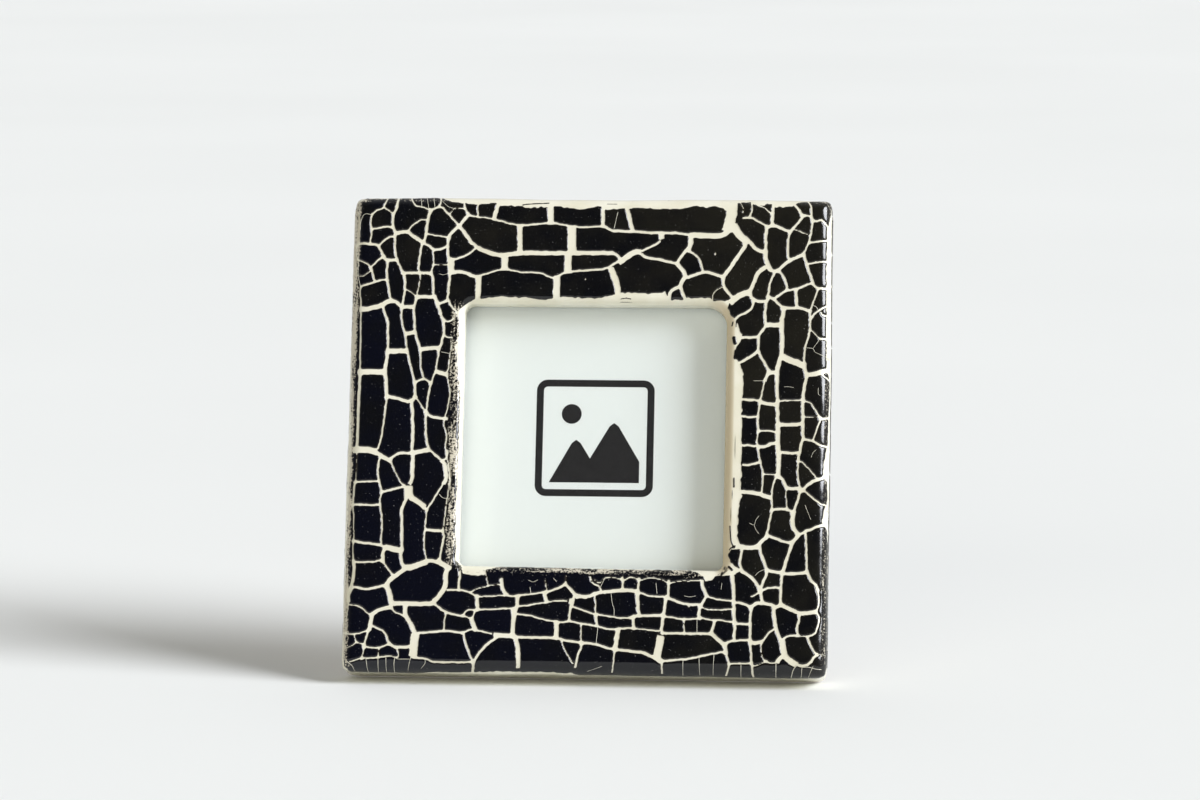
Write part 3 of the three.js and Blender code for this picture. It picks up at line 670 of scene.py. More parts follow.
# Streaks of wear for each millimetre across and along an edge, and how far a side bar's edge faces sideways
STREAK = np.array((2.2, 0.3))
SIDE_BAR_FACING = 0.7

# Crackle of the hidden sides: distances round the frame, and over its outer edge
SIDE_NEAR = 7.0
SIDE_MIDDLE = 10.5
SIDE_FAR = 13.6
SIDE_MARGIN = 1
SIDE_START_SHARE = 0.98
SIDE_END_GAP = 8
SIDE_SEED = 41
LONG_CRACK_STEP = 6.0
LONG_CRACK_SWAY = 0.6
LONG_CRACK_HALF = 0.35
CROSS_CRACK_GAPS = (5, 11)
CROSS_CRACK_SWAY = 0.8
CROSS_CRACK_HALVES = (0.25, 0.5)

# Rows of the ceramic ring: how many of each, or how deep they lie behind the front face
RING_STEPS = (60, 12)
FACE_ROWS = 24
EDGE_ROWS = 10
SIDE_DEPTHS = (5, 7, 9, 11, 12.4, 13.2)
BACK_ROWS = 8
REBATE_DEPTHS = (12, 10, 8, LIP_DEPTH)
LEDGE_SHARES = (0.5, 1.0)
THROAT_DEPTHS = (5, 4, 3)
LIP_ROWS = 9
# The broken edge between the ring's sides and its back
HEEL_INSET = 0.2
HEEL_RISE = 0.17
BACK_INSET = 0.7
# Where the ring's sides turn to bare clay
BARE_RISE = (10, 6)
HEEL_BARE = 0.8
# Black smears on the ring's cream, and how they come and go over the outer edge. Inside the window's right
# side the smears are partly real streaks and partly painted shade.
FACING_GAIN = 1.2
EDGE_DIRT = 0.36
EDGE_LEFT_DIRT = 0.05
EDGE_DIRT_PLACES = (0.25, 0.5, 0.85, 1.0)
EDGE_DIRT_SHARES = (0.0, 1.0, 1.0, 0.5)
LIP_LEFT_DIRT = 0.45
LIP_LOW_DIRT = 0.45
LIP_RIGHT_DIRT_AND_SHADE = 0.32
LIP_DIRT_POWER = 0.5
# How the painted tan shade inside the window's right side fades from the throat towards the front face
PAINTED_SHADE_POWER = 0.25

# Rounds that find the point which a sight line meets, and the share of a rounding that it may reach
SIGHT_ROUNDS = 4
ROUND_SHARE = 0.995
# A length that stands in for zero where a division needs one
TINY = 1e-9
# Bevel of cut and stamped edges, in metres
EDGE_BREAK = 0.00012
EDGE_BREAK_STEPS = 2
SHARP_ANGLE = math.radians(40)


def make_axes():
    """The camera's right, up and forward directions."""
    yaw, pitch, roll = CAMERA_YAW, CAMERA_PITCH, CAMERA_ROLL
    forward = np.array((math.sin(yaw) * math.cos(pitch), math.cos(yaw) * math.cos(pitch), -math.sin(pitch)))
    level = np.array((math.cos(yaw), -math.sin(yaw), 0.0))
    above = np.cross(level, forward)
    right = level * math.cos(roll) + above * math.sin(roll)
    up = above * math.cos(roll) - level * math.sin(roll)
    return right, up, forward


CAMERA_RIGHT, CAMERA_UP, CAMERA_FORWARD = make_axes()


def to_world(places):
    """Frame places (across, up, back) in millimetres as world points in metres."""
    across, up, back = places[..., 0], places[..., 1], places[..., 2]
    y = LEAN_SHIFT + up * math.sin(LEAN) + back * math.cos(LEAN)
    z = up * math.cos(LEAN) - back * math.sin(LEAN)
    return np.stack((across, y, z), -1) / METRE


def back_of(world):
    """How far back from the ceramic's back plane a world point in millimetres lies."""
    return (world[1] - LEAN_SHIFT) * math.cos(LEAN) - world[2] * math.sin(LEAN)


def seen_point(picture_x, picture_y, depth):
    """Across and up where the sight line of a picture point meets a plane behind the front face."""
    ray = CAMERA_FORWARD + (picture_x - PICTURE_MIDDLE[0]) / FOCAL_PIXELS * CAMERA_RIGHT
    ray = ray - (picture_y - PICTURE_MIDDLE[1]) / FOCAL_PIXELS * CAMERA_UP
    ray_back = ray[1] * math.cos(LEAN) - ray[2] * math.sin(LEAN)
    length = (depth - BODY_DEPTH - back_of(CAMERA_PLACE)) / ray_back
    world = CAMERA_PLACE + length * ray
    up = (world[1] - LEAN_SHIFT) * math.sin(LEAN) + world[2] * math.cos(LEAN)
    return np.array((world[0], up))


def edge_distance(points, centre, half, radius):
    """Signed distance outside a rounded square, and the direction away from it."""
    offset = points - centre
    sign = np.where(offset < 0, -1.0, 1.0)
    past = np.abs(offset) - (half - radius)[..., None]
    corner = (past > 0).all(-1)
    length = np.hypot(past[..., 0], past[..., 1])
    distance = np.where(corner, length, past.max(-1)) - radius
    flat_way = np.stack((past[..., 0] >= past[..., 1], past[..., 0] < past[..., 1]), -1).astype(float)
    round_way = past / np.maximum(length, TINY)[..., None]
    way = np.where(corner[..., None], round_way, flat_way) * sign
    return distance, way


def squared(way):
    """A direction made longer towards a corner, so that the outline turns more tightly there."""
    size = (np.abs(way) ** CORNER_POWER).sum(-1, keepdims=True) ** (1 / CORNER_POWER)
    return way / size


def outer_edge(points):
    """Distance and direction from the edge where the face starts to roll into the sides."""
    radius = np.full(points.shape[:-1], FACE_CORNER)
    return edge_distance(points, FRAME_MIDDLE, FACE_HALF, radius)


def foot_sag(points):
    """How far the hand-made window hangs below its even shape: most at its foot, and more to the right."""
    across = (points[..., 0] - WINDOW_ACROSS) / LIP_HALF
    down = np.clip((MIDDLE_UP - points[..., 1]) / LIP_HALF, 0, 1)
    return (FOOT_SAG + FOOT_SLOPE * across) * down


def inner_edge(points):
    """Distance and direction from the edge where the face starts to roll into the window."""
    points = points + np.stack((np.zeros(points.shape[:-1]), foot_sag(points)), -1)
    offset = points - WINDOW_MIDDLE
    right = offset[..., 0] > 0
    upper = offset[..., 1] > 0
    low_left, low_right, up_right, up_left = WINDOW_CORNERS
    radius = np.where(upper, np.where(right, up_right, up_left), np.where(right, low_right, low_left))
    return edge_distance(points, WINDOW_MIDDLE, LIP_HALF, radius + WINDOW_ROUND)


def rise(values, start, reach):
    """How far values have risen past a start, from 0 to 1 over a reach."""
    return np.clip((values - start) / reach, 0, 1)


def field(points, height, scale, seed):
    """Smooth random values over a plane, up to a height above and below zero."""
    lattice = np.random.default_rng(seed).uniform(-1, 1, (FIELD_CELLS, FIELD_CELLS))
    cell = points / scale + FIELD_START
    whole = np.floor(cell).astype(int)
    part = cell - whole
    part = part * part * (3 - 2 * part)
    left, low = whole[..., 0] % FIELD_CELLS, whole[..., 1] % FIELD_CELLS
    right, high = (left + 1) % FIELD_CELLS, (low + 1) % FIELD_CELLS
    lower = lattice[left, low] * (1 - part[..., 0]) + lattice[right, low] * part[..., 0]
    upper = lattice[left, high] * (1 - part[..., 0]) + lattice[right, high] * part[..., 0]
    return height * (lower * (1 - part[..., 1]) + upper * part[..., 1])


def wave(points):
    """Height of the hand-made unevenness of the face."""
    return field(points, *BROAD_WAVE) + field(points, *SMALL_WAVE)


def rolled(base, way, travel, radius, lift, is_outer):
    """Places reached by following a rounded edge from the face at base for a distance along the surface."""
    angle = np.clip(travel / radius, 0, math.pi / 2)
    beyond = np.maximum(travel - radius * math.pi / 2, 0)
    depth = radius * (1 - np.cos(angle)) + beyond
    weight = rise(WAVE_END - depth, 0, WAVE_FADE) if is_outer else np.cos(angle)
    raised = lift + wave(base) * weight
    across_up = base + way * (radius * np.sin(angle) + np.sin(angle) * raised)[..., None]
    back = depth - BODY_DEPTH - np.cos(angle) * raised
    return np.concatenate((across_up, back[..., None]), -1)


def on_face(points, lift):
    """Places on the glazed skin for points of the face unrolled flat."""
    out, out_way = outer_edge(points)
    into, into_way = inner_edge(points)
    out = np.maximum(out, 0)
    into = np.maximum(-into, 0)
    outer = rolled(points - out_way * out[..., None], squared(out_way), out, OUTER_ROUND, lift, True)
    inner = rolled(points + into_way * into[..., None], -into_way, into, WINDOW_ROUND, lift, False)
    return np.where((into > 0)[..., None], inner, outer)


SIDE_LENGTH = 2 * (BODY_HALF - OUTER_ROUND - FACE_CORNER)
TURN_RADIUS = OUTER_ROUND + FACE_CORNER
SIDE_PERIOD = SIDE_LENGTH + TURN_RADIUS * math.pi / 2
ROUND_LENGTH = OUTER_ROUND * math.pi / 2


def on_side(points, lift):
    """Places on the outer side for a distance round the frame, from the lower left, and one over its edge."""
    side = np.floor(points[..., 0] / SIDE_PERIOD)
    along = points[..., 0] - side * SIDE_PERIOD
    straight = np.minimum(along, SIDE_LENGTH)
    turn = np.maximum(along - SIDE_LENGTH, 0) / TURN_RADIUS
    heading = side * math.pi / 2
    ahead = np.stack((np.cos(heading), np.sin(heading)), -1)
    aside = np.stack((np.sin(heading), -np.cos(heading)), -1)
    way = np.stack((np.sin(heading + turn), -np.cos(heading + turn)), -1)
    pivot = ahead * (straight - SIDE_LENGTH / 2)[..., None] + aside * (FACE_HALF - FACE_CORNER)
    base = pivot + way * FACE_CORNER + FRAME_MIDDLE
    return rolled(base, squared(way), points[..., 1], OUTER_ROUND, lift, True)


def unrolled(picture_x, picture_y):
    """The point of the unrolled face that a picture point shows."""
    depth = 0.0
    for _ in range(SIGHT_ROUNDS):
        point = seen_point(picture_x, picture_y, depth)
        out, out_way = outer_edge(point)
        into, into_way = inner_edge(point)
        stretch = np.hypot(*squared(out_way))
        out = min(max(float(out) / stretch, 0.0), OUTER_ROUND * ROUND_SHARE)
        into = min(max(float(-into), 0.0), WINDOW_ROUND * ROUND_SHARE)
        outer_depth = OUTER_ROUND - math.sqrt(OUTER_ROUND ** 2 - out ** 2)
        depth = outer_depth + WINDOW_ROUND - math.sqrt(WINDOW_ROUND ** 2 - into ** 2)
    more_out = OUTER_ROUND * math.asin(out / OUTER_ROUND) - out * stretch
    more_in = WINDOW_ROUND * math.asin(into / WINDOW_ROUND) - into
    return point + out_way * more_out - into_way * more_in


def make_object(name, vertices, faces, material):
    """A smooth-shaded mesh object in the scene."""
    mesh = bpy.data.meshes.new(name)
    mesh.from_pydata([tuple(vertex) for vertex in vertices], [], faces)
    mesh.update()
    mesh.materials.append(material)
    mesh.polygons.foreach_set("use_smooth", [True] * len(mesh.polygons))
    made = bpy.data.objects.new(name, mesh)
    bpy.context.scene.collection.objects.link(made)
    return made


def give_values(made, name, values):
    """A value for each point of a mesh, which a material reads by its name."""
    attribute = made.data.attributes.new(name, "FLOAT", "POINT")
    attribute.data.foreach_set("value", np.asarray(values, np.float32))


def connect(tree, value, socket):
    """Links a socket to the one given, or sets it to a plain value."""
    if isinstance(value, bpy.types.NodeSocket):
        tree.links.new(value, socket)
    else:
        socket.default_value = value


def add(tree, kind, settings=None, **inputs):
    """A shader node with plain settings, and with its inputs set or linked by name."""
    node = tree.nodes.new("ShaderNode" + kind)
    for name, value in (settings or {}).items():
        setattr(node, name, value)
    for name, value in inputs.items():
        connect(tree, value, node.inputs[name.replace("_", " ")])
    return node


def ramp(tree, factor, *stops):
    """Colours that change with a factor, as pairs of position and colour."""
    node = add(tree, "ValToRGB", Fac=factor)
    elements = node.color_ramp.elements
    while len(elements) < len(stops):
        elements.new(0.5)
    for element, (position, colour) in zip(elements, stops):
        element.position = position
        element.color = (*colour, 1)
    return node.outputs["Color"]


def grey(tree, factor, *stops):
    """Values that change with a factor, as pairs of position and value."""
    return ramp(tree, factor, *[(position, (value, value, value)) for position, value in stops])


# Sockets of a Mix node that blends colours
MIX_FACTOR = 0
MIX_FIRST = 6
MIX_SECOND = 7
MIX_RESULT = 2


def blend_colour(tree, factor, first, second):
    """The first colour, with the plain second one laid over it by a factor."""
    node = add(tree, "Mix", {"data_type": "RGBA"})
    connect(tree, factor, node.inputs[MIX_FACTOR])
    connect(tree, first, node.inputs[MIX_FIRST])
    connect(tree, (*second, 1) if isinstance(second, tuple) else second, node.inputs[MIX_SECOND])
    return node.outputs[MIX_RESULT]


def maths(tree, kind, *values):
    node = add(tree, "Math", {"operation": kind})
    for value, socket in zip(values, node.inputs):
        connect(tree, value, socket)
    return node.outputs[0]


def noise(tree, place, scale, detail=3.0, roughness=0.5):
    node = add(tree, "TexNoise", Vector=place, Scale=scale, Detail=detail, Roughness=roughness)
    return node.outputs["Fac"]


def value_of(tree, name):
    return add(tree, "Attribute", {"attribute_name": name}).outputs["Fac"]


def new_material(name):
    """A material with its tree, its main shader and the object's own coordinates."""
    material = bpy.data.materials.new(name)
    material.use_nodes = True
    tree = material.node_tree
    shader = tree.nodes["Principled BSDF"]
    place = add(tree, "TexCoord").outputs["Object"]
    return material, tree, shader, place


def paint(tree, shader, colour, roughness):
    connect(tree, colour, shader.inputs["Base Color"])
    connect(tree, roughness, shader.inputs["Roughness"])


def bump(tree, shader, height, strength, distance):
    node = add(tree, "Bump", Height=height, Strength=strength, Distance=distance)
    connect(tree, node.outputs["Normal"], shader.inputs["Normal"])


# Colours of the glazes and the clay
BLUE_BLACK = (0.0026, 0.0031, 0.0074)
MIDDLE_BLACK = (0.0036, 0.0038, 0.0048)
BROWN_BLACK = (0.0118, 0.0110, 0.0082)
RIM_BROWN = (0.06, 0.05, 0.035)
DUST_GREY = (0.5, 0.5, 0.48)
WORN_CREAM = (0.66, 0.61, 0.49)
DEEP_CREAM = (0.72, 0.69, 0.545)
PALE_CREAM = (0.795, 0.775, 0.655)
SPECK_BROWN = (0.45, 0.36, 0.24)
# Painted shade: a tan cream for the inside of the window's right side, which its lip keeps in shade
PAINTED_SHADE_TAN = (0.56, 0.46, 0.29)
SMEAR_BLACK = (0.018, 0.017, 0.016)
DARK_CLAY = (0.50, 0.40, 0.30)
PALE_CLAY = (0.66, 0.55, 0.43)
CLAY_ROUGHNESS = (0.85, 0.85, 0.85)


def make_black_glaze():
    """Black glaze with cloudy tints, brown rims, dust, and cream where it is worn."""
    material, tree, shader, place = new_material("black_crackle_glaze")
    cloud = maths(tree, "MULTIPLY_ADD", noise(tree, place, scale=140), 0.7, -0.35)
    tint = maths(tree, "ADD", value_of(tree, "tint"), cloud)
    colour = ramp(tree, tint, (0.15, BLUE_BLACK), (0.5, MIDDLE_BLACK), (0.9, BROWN_BLACK))
    rim = grey(tree, value_of(tree, "rim"), (0.0, 0.5), (0.5, 0.12), (1.0, 0.0))
    colour = blend_colour(tree, rim, colour, RIM_BROWN)
    dust = grey(tree, noise(tree, place, scale=2300, detail=2), (0.7, 0.0), (0.78, 0.3))
    colour = blend_colour(tree, dust, colour, DUST_GREY)
    scuff = noise(tree, place, scale=1900, detail=4, roughness=0.65)
    worn = maths(tree, "ADD", scuff, value_of(tree, "wear"))
    bare = grey(tree, maths(tree, "MULTIPLY", worn, 0.5), (0.465, 0.0), (0.525, 0.9))
    colour = blend_colour(tree, bare, colour, WORN_CREAM)
    gloss = grey(tree, noise(tree, place, scale=420), (0.3, 0.07), (0.75, 0.2))
    paint(tree, shader, colour, gloss)
    bump(tree, shader, noise(tree, place, scale=700, detail=2), strength=0.25, distance=0.00006)
    return material


def make_cream_glaze():
    """Cream glaze with specks, painted tan shade inside the window's right side and black smears, and bare
    clay where there is no glaze.
    """
    material, tree, shader, place = new_material("cream_glaze_and_clay")
    cloud = noise(tree, place, scale=110, detail=4)
    cream = ramp(tree, cloud, (0.3, DEEP_CREAM), (0.7, PALE_CREAM))
    speck = grey(tree, noise(tree, place, scale=1500, detail=2), (0.72, 0.0), (0.8, 0.25))
    cream = blend_colour(tree, speck, cream, SPECK_BROWN)
    # Painted shade: the inside of the window's right side turns tan
    cream = blend_colour(tree, value_of(tree, "painted_shade"), cream, PAINTED_SHADE_TAN)
    blot = noise(tree, place, scale=700, detail=6, roughness=0.75)
    # The smears are real streaks, and inside the window's right side partly painted shade as well
    smear = maths(tree, "ADD", blot, value_of(tree, "stain"))
    dark = grey(tree, maths(tree, "MULTIPLY", smear, 0.5), (0.49, 0.0), (0.54, 1.0))
    glazed = blend_colour(tree, dark, cream, SMEAR_BLACK)
    grain = noise(tree, place, scale=900, detail=6, roughness=0.7)
    clay = ramp(tree, grain, (0.3, DARK_CLAY), (0.7, PALE_CLAY))
    glaze_end = maths(tree, "ADD", value_of(tree, "bare"), maths(tree, "MULTIPLY", cloud, 0.3))
    bare = grey(tree, glaze_end, (0.6, 0.0), (0.66, 1.0))
    gloss = grey(tree, noise(tree, place, scale=300), (0.3, 0.12), (0.75, 0.28))
    colour = blend_colour(tree, bare, glazed, clay)
    paint(tree, shader, colour, blend_colour(tree, bare, gloss, CLAY_ROUGHNESS))
    bare_grain = maths(tree, "MULTIPLY", bare, grain)
    relief = maths(tree, "ADD", noise(tree, place, scale=650), bare_grain)
    bump(tree, shader, relief, strength=0.3, distance=0.0001)
    return material


BLACK_GLAZE = make_black_glaze()
CREAM_GLAZE = make_cream_glaze()


def loop(middle, half, corners, per_side, per_corner):
    """Points round a rounded square from its lower left, anticlockwise, and the directions outwards."""
    points = []
    ways = []
    turns = ((-1, -1), (1, -1), (1, 1), (-1, 1))
    for side in range(4):
        radius_here, radius_next = corners[side], corners[(side + 1) % 4]
        heading = side * math.pi / 2
        ahead = np.array((math.cos(heading), math.sin(heading)))
        aside = np.array((math.sin(heading), -math.cos(heading)))
        for step in range(per_side):
            along = -half + radius_here + (2 * half - radius_here - radius_next) * step / per_side
            points.append(ahead * along + aside * half)
            ways.append(aside)
        pivot = np.array(turns[(side + 1) % 4]) * (half - radius_next)
        for step in range(per_corner):
            angle = heading - math.pi / 2 + math.pi / 2 * step / per_corner
            way = np.array((math.cos(angle), math.sin(angle)))
            points.append(pivot + way * radius_next)
            ways.append(way)
    return np.array(points) + middle, np.array(ways)


def swept_faces(rows, stations):
    """Faces of a closed ring swept from rows of points, each row with one point for each station."""
    faces = []
    for row in range(rows):
        here, following = row * stations, (row + 1) % rows * stations
        for station in range(stations):
            beside = (station + 1) % stations
            faces.append((here + station, following + station, following + beside, here + beside))
    return faces


def ring_row(places, bare=0.0, dirt=0.0, painted_tan_shade=0.0):
    """A row of places round the ring, with how bare and dirty each one is, and how much painted tan shade it
    takes.
    """
    even = np.zeros(len(places))
    return places, even + bare, even + dirt, even + painted_tan_shade


def at_depth(points, depth):
    """Places of points at one depth behind the front face."""
    return np.concatenate((points, np.full((len(points), 1), depth - BODY_DEPTH)), -1)


def facing(part):
    """How far directions face one way, given the part of them that does, from 0 to 1."""
    return np.clip(part * FACING_GAIN, 0, 1)


def face_rows(lip, edge):
    """The ring's front face, from the lip of the window to the outer edge."""
    shares = np.linspace(0, 1, FACE_ROWS + 1)[:-1]
    return [ring_row(on_face(lip + (edge - lip) * share, 0.0)) for share in shares]


def side_rows(edge, edge_way):
    """The ring's rounded outer edge and its sides, down to the heel."""
    outwards = squared(edge_way)
    strength = EDGE_DIRT + EDGE_LEFT_DIRT * facing(-edge_way[:, 0])
    rows = []
    for share in np.linspace(0, 1, EDGE_ROWS + 1):
        travel = np.full(len(edge), share * ROUND_LENGTH)
        dirt = strength * np.interp(share, EDGE_DIRT_PLACES, EDGE_DIRT_SHARES)
        rows.append(ring_row(rolled(edge, outwards, travel, OUTER_ROUND, 0.0, True), dirt=dirt))
    for depth in SIDE_DEPTHS:
        travel = np.full(len(edge), ROUND_LENGTH + depth - OUTER_ROUND)
        bare = rise(depth, *BARE_RISE)
        rows.append(ring_row(rolled(edge, outwards, travel, OUTER_ROUND, 0.0, True), bare))
    heel = edge + outwards * (OUTER_ROUND - HEEL_INSET)
    rows.append(ring_row(at_depth(heel, BODY_DEPTH - HEEL_RISE), HEEL_BARE))
    return rows


def back_rows(edge, edge_way, rebate, throat):
    """The ring's bare back and the rebate for the sheets, in to the throat of the window."""
    back_edge = edge + squared(edge_way) * (OUTER_ROUND - BACK_INSET)
    rows = []
    for share in np.linspace(0, 1, BACK_ROWS + 1):
        rows.append(ring_row(at_depth(back_edge + (rebate - back_edge) * share, BODY_DEPTH), 1.0))
    for depth in REBATE_DEPTHS:
        rows.append(ring_row(at_depth(rebate, depth), 1.0))
    for share in LEDGE_SHARES:
        rows.append(ring_row(at_depth(rebate + (throat - rebate) * share, LIP_DEPTH), 1 - share))
    return rows


def window_rows(lip, lip_way, throat):
    """The throat of the window and its rounded lip, up to the front face."""
    left, low, right = facing(-lip_way[:, 0]), facing(-lip_way[:, 1]), facing(lip_way[:, 0])
    # On the window's right side the smears are partly real streaks and partly painted shade
    strength = left * LIP_LEFT_DIRT + low * LIP_LOW_DIRT + right * LIP_RIGHT_DIRT_AND_SHADE
    # Painted shade: the throat and lip on the window's right side turn tan, fully in the throat and less
    # towards the face
    rows = [ring_row(at_depth(throat, depth), painted_tan_shade=right) for depth in THROAT_DEPTHS]
    for share in np.linspace(1, 0, LIP_ROWS + 1)[:-1]:
        travel = np.full(len(lip), share * WINDOW_ROUND * math.pi / 2)
        dirt = strength * (1 - share) ** LIP_DIRT_POWER
        painted_tan_shade = right * share ** PAINTED_SHADE_POWER
        rows.append(ring_row(rolled(lip, -lip_way, travel, WINDOW_ROUND, 0.0, False), 0.0, dirt, painted_tan_shade))
    return rows


def make_body():
    """The ceramic ring as one closed skin, swept round the window."""
    lip_corners = [radius + WINDOW_ROUND for radius in WINDOW_CORNERS]
    lip, lip_way = loop(WINDOW_MIDDLE, LIP_HALF, lip_corners, *RING_STEPS)
    lip[:, 1] -= foot_sag(lip)
    throat = lip - lip_way * WINDOW_ROUND
    edge, edge_way = loop(FRAME_MIDDLE, FACE_HALF, [FACE_CORNER] * 4, *RING_STEPS)
    rebate, _ = loop(WINDOW_MIDDLE, REBATE_HALF, [REBATE_CORNER] * 4, *RING_STEPS)
    rows = face_rows(lip, edge) + side_rows(edge, edge_way)
    rows = rows + back_rows(edge, edge_way, rebate, throat) + window_rows(lip, lip_way, throat)
    places, bare, stain, painted_shade = (np.concatenate(parts) for parts in zip(*rows))
    made = make_object("ceramic_ring", to_world(places), swept_faces(len(rows), len(lip)), CREAM_GLAZE)
    give_values(made, "stain", stain)
    give_values(made, "bare", bare)
    # The painted tan shade for the window's right side, which the cream material reads
    give_values(made, "painted_shade", painted_shade)
    return made


BODY = make_body()
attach(BODY, "frame")
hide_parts("ceramic_body")


def line_distance(points, line):
    """Distance of points from a line of straight steps."""
    nearest = np.full(points.shape[:-1], np.inf)
    for first, second in zip(line, line[1:]):
        step = second - first
        share = np.clip(((points - first) @ step) / max(step @ step, TINY), 0, 1)
        offset = points - first - share[..., None] * step
        nearest = np.minimum(nearest, (offset ** 2).sum(-1))
    return np.sqrt(nearest)


def depth_inside(points, outline):
    """Distance from an outline's corners and edges, positive inside it."""
    across, up = points[..., 0], points[..., 1]
    inside = np.zeros(across.shape, bool)
    for first, second in zip(outline, np.roll(outline, -1, axis=0)):
        if first[1] != second[1]:
            crossing = first[0] + (up - first[1]) * (second[0] - first[0]) / (second[1] - first[1])
            inside ^= ((first[1] > up) != (second[1] > up)) & (across < crossing)
    closed = np.vstack((outline, outline[:1]))
    return np.where(inside, 1, -1) * line_distance(points, closed)


def crack_side(points, line, half_width):
    """Distance from the side of a crack with square ends, negative within it."""
    distance = line_distance(points, line)
    depth = distance - half_width
    for end, inner in ((line[0], line[1]), (line[-1], line[-2])):
        way = (end - inner) / np.hypot(*(end - inner))
        offset = points - end
        past = offset @ way
        beyond = (past > 0) & (np.hypot(offset[..., 0], offset[..., 1]) <= distance + TINY)
        depth = np.where(beyond, np.maximum(depth, past), depth)
    return depth


def smooth_line(points):
    """A curve through points, in short straight steps."""
    if len(points) == 2:
        return points
    ends = np.vstack((2 * points[0] - points[1], points, 2 * points[-1] - points[-2]))
    share = np.arange(CURVE_STEPS)[:, None] / CURVE_STEPS
    parts = []
    for before, first, second, after in zip(ends, ends[1:], ends[2:], ends[3:]):
        bend = 2 * before - 5 * first + 4 * second - after
        twist = 3 * first - before - 3 * second + after
        parts.append(first + ((second - before) * share + bend * share ** 2 + twist * share ** 3) / 2)
    return np.vstack(parts + [points[-1:]])


def on_plane(numbers):
    """Picture points, given as across and down in turn, as points of the unrolled face."""
    return np.array([unrolled(x, y) for x, y in zip(numbers[::2], numbers[1::2])])


def read_lines(rows):
    """Half width and curve of each row of a table of cracks, lines or dashes."""
    lines = []
    for width, *numbers in rows:
        half_width = max(width * POINT_SIZE - CRACK_CLOSING, THINNEST_CRACK) / 2
        lines.append((half_width, smooth_line(on_plane(numbers))))
    return lines


def make_grid(low, high):
    """A square grid of points over a part of a plane."""
    steps = np.ceil((np.array(high) - low) / GRID_STEP).astype(int) + 1
    column, row = np.meshgrid(np.arange(steps[0]), np.arange(steps[1]))
    return low + np.stack((column, row), -1) * GRID_STEP


def near_line(grid, line):
    """The block of a grid that lies around a line."""
    low = np.floor((line.min(0) - FULL_DEPTH - grid[0, 0]) / GRID_STEP).astype(int)
    high = np.ceil((line.max(0) + FULL_DEPTH - grid[0, 0]) / GRID_STEP).astype(int)
    low = np.maximum(low, 0)
    high = np.maximum(high, 0)
    return slice(low[1], high[1] + 1), slice(low[0], high[0] + 1)


def joined(first, second):
    """The lesser of two distances, with the corner where they meet rounded."""
    share = np.clip(1 - np.abs(first - second) / CORNER_BLEND, 0, 1)
    return np.minimum(first, second) - share ** 2 * CORNER_BLEND / 4


def shake(points, kinds):
    """A random offset for each point, of one kind across and one up."""
    return np.stack([field(points, *kind) for kind in kinds], -1)


def warped(points):
    """Points shaken a little, so that no crack runs quite smoothly."""
    return points + shake(points, COARSE_SHAKE) + shake(points, FINE_SHAKE)


def cut_by_cracks(grid, cracks):
    """Distance of each grid point from the side of the nearest crack, which is negative within it."""
    shaken = warped(grid)
    clear = np.full(grid.shape[:2], FULL_DEPTH)
    for half_width, line in cracks:
        block = near_line(grid, line)
        clear[block] = joined(clear[block], crack_side(shaken[block], line, half_width))
    return clear


def number_pieces(inside):
    """Numbers the separate pieces where inside is positive. Zero is none or too small a chip."""
    numbers = np.zeros(inside.shape, int)
    unseen = inside > 0
    count = 0
    for start in zip(*np.nonzero(unseen)):
        if not unseen[start]:
            continue
        unseen[start] = False
        piece = [start]
        for row, column in piece:
            for near in ((row + 1, column), (row - 1, column), (row, column + 1), (row, column - 1)):
                in_range = near[0] < inside.shape[0] and near[1] < inside.shape[1]
                if in_range and unseen[near]:
                    unseen[near] = False
                    piece.append(near)
        if len(piece) >= SMALLEST_CHIP:
            count += 1
            numbers[tuple(np.array(piece).T)] = count
    return numbers


def open_rims(faces):
    """The loops of vertices along the open edges, each in the order that a cap over it needs."""
    edges = {edge for face in faces for edge in zip(face, face[1:] + face[:1])}
    following = {second: first for first, second in sorted(edges) if (second, first) not in edges}
    rims = []
    while following:
        start, vertex = following.popitem()
        rim = [start]
        while vertex != start:
            rim.append(vertex)
            vertex = following.pop(vertex)
        rims.append(rim)
    return rims


def fill_inside(grid, inside):
    """Faces that fill where inside is positive, cut along its zero line, and a cap behind each rim."""
    points = []
    depths = []
    owners = []
    faces = []
    known = {}

    def vertex(key, point, depth, owner):
        """The number of a vertex, which is new when its key is."""
        if key not in known:
            known[key] = len(points)
            points.append(point)
            depths.append(depth)
            owners.append(owner)
        return known[key]

    def cut(first, second):
        """The vertex where the zero line cuts the step between two neighbours."""
        low, high = sorted((first, second))
        share = inside[low] / (inside[low] - inside[high])
        share = min(max(share, CUT_MARGIN), 1 - CUT_MARGIN)
        point = grid[low] + (grid[high] - grid[low]) * share
        return vertex((low, high), point, 0.0, first if inside[first] > 0 else second)

    filled = inside > 0
    touched = filled[:-1, :-1] | filled[1:, :-1] | filled[:-1, 1:] | filled[1:, 1:]
    for row, column in zip(*np.nonzero(touched)):
        ring = ((row, column), (row, column + 1), (row + 1, column + 1), (row + 1, column))
        face = []
        for place, following in zip(ring, ring[1:] + ring[:1]):
            if filled[place]:
                face.append(vertex(place, grid[place], inside[place], place))
            if filled[place] != filled[following]:
                face.append(cut(place, following))
        faces.append(face)
    for rim in open_rims(faces):
        faces.append([vertex(("cap", edge), points[edge], 0.0, owners[edge]) for edge in rim])
    return np.array(points), np.array(depths), np.array(owners), faces


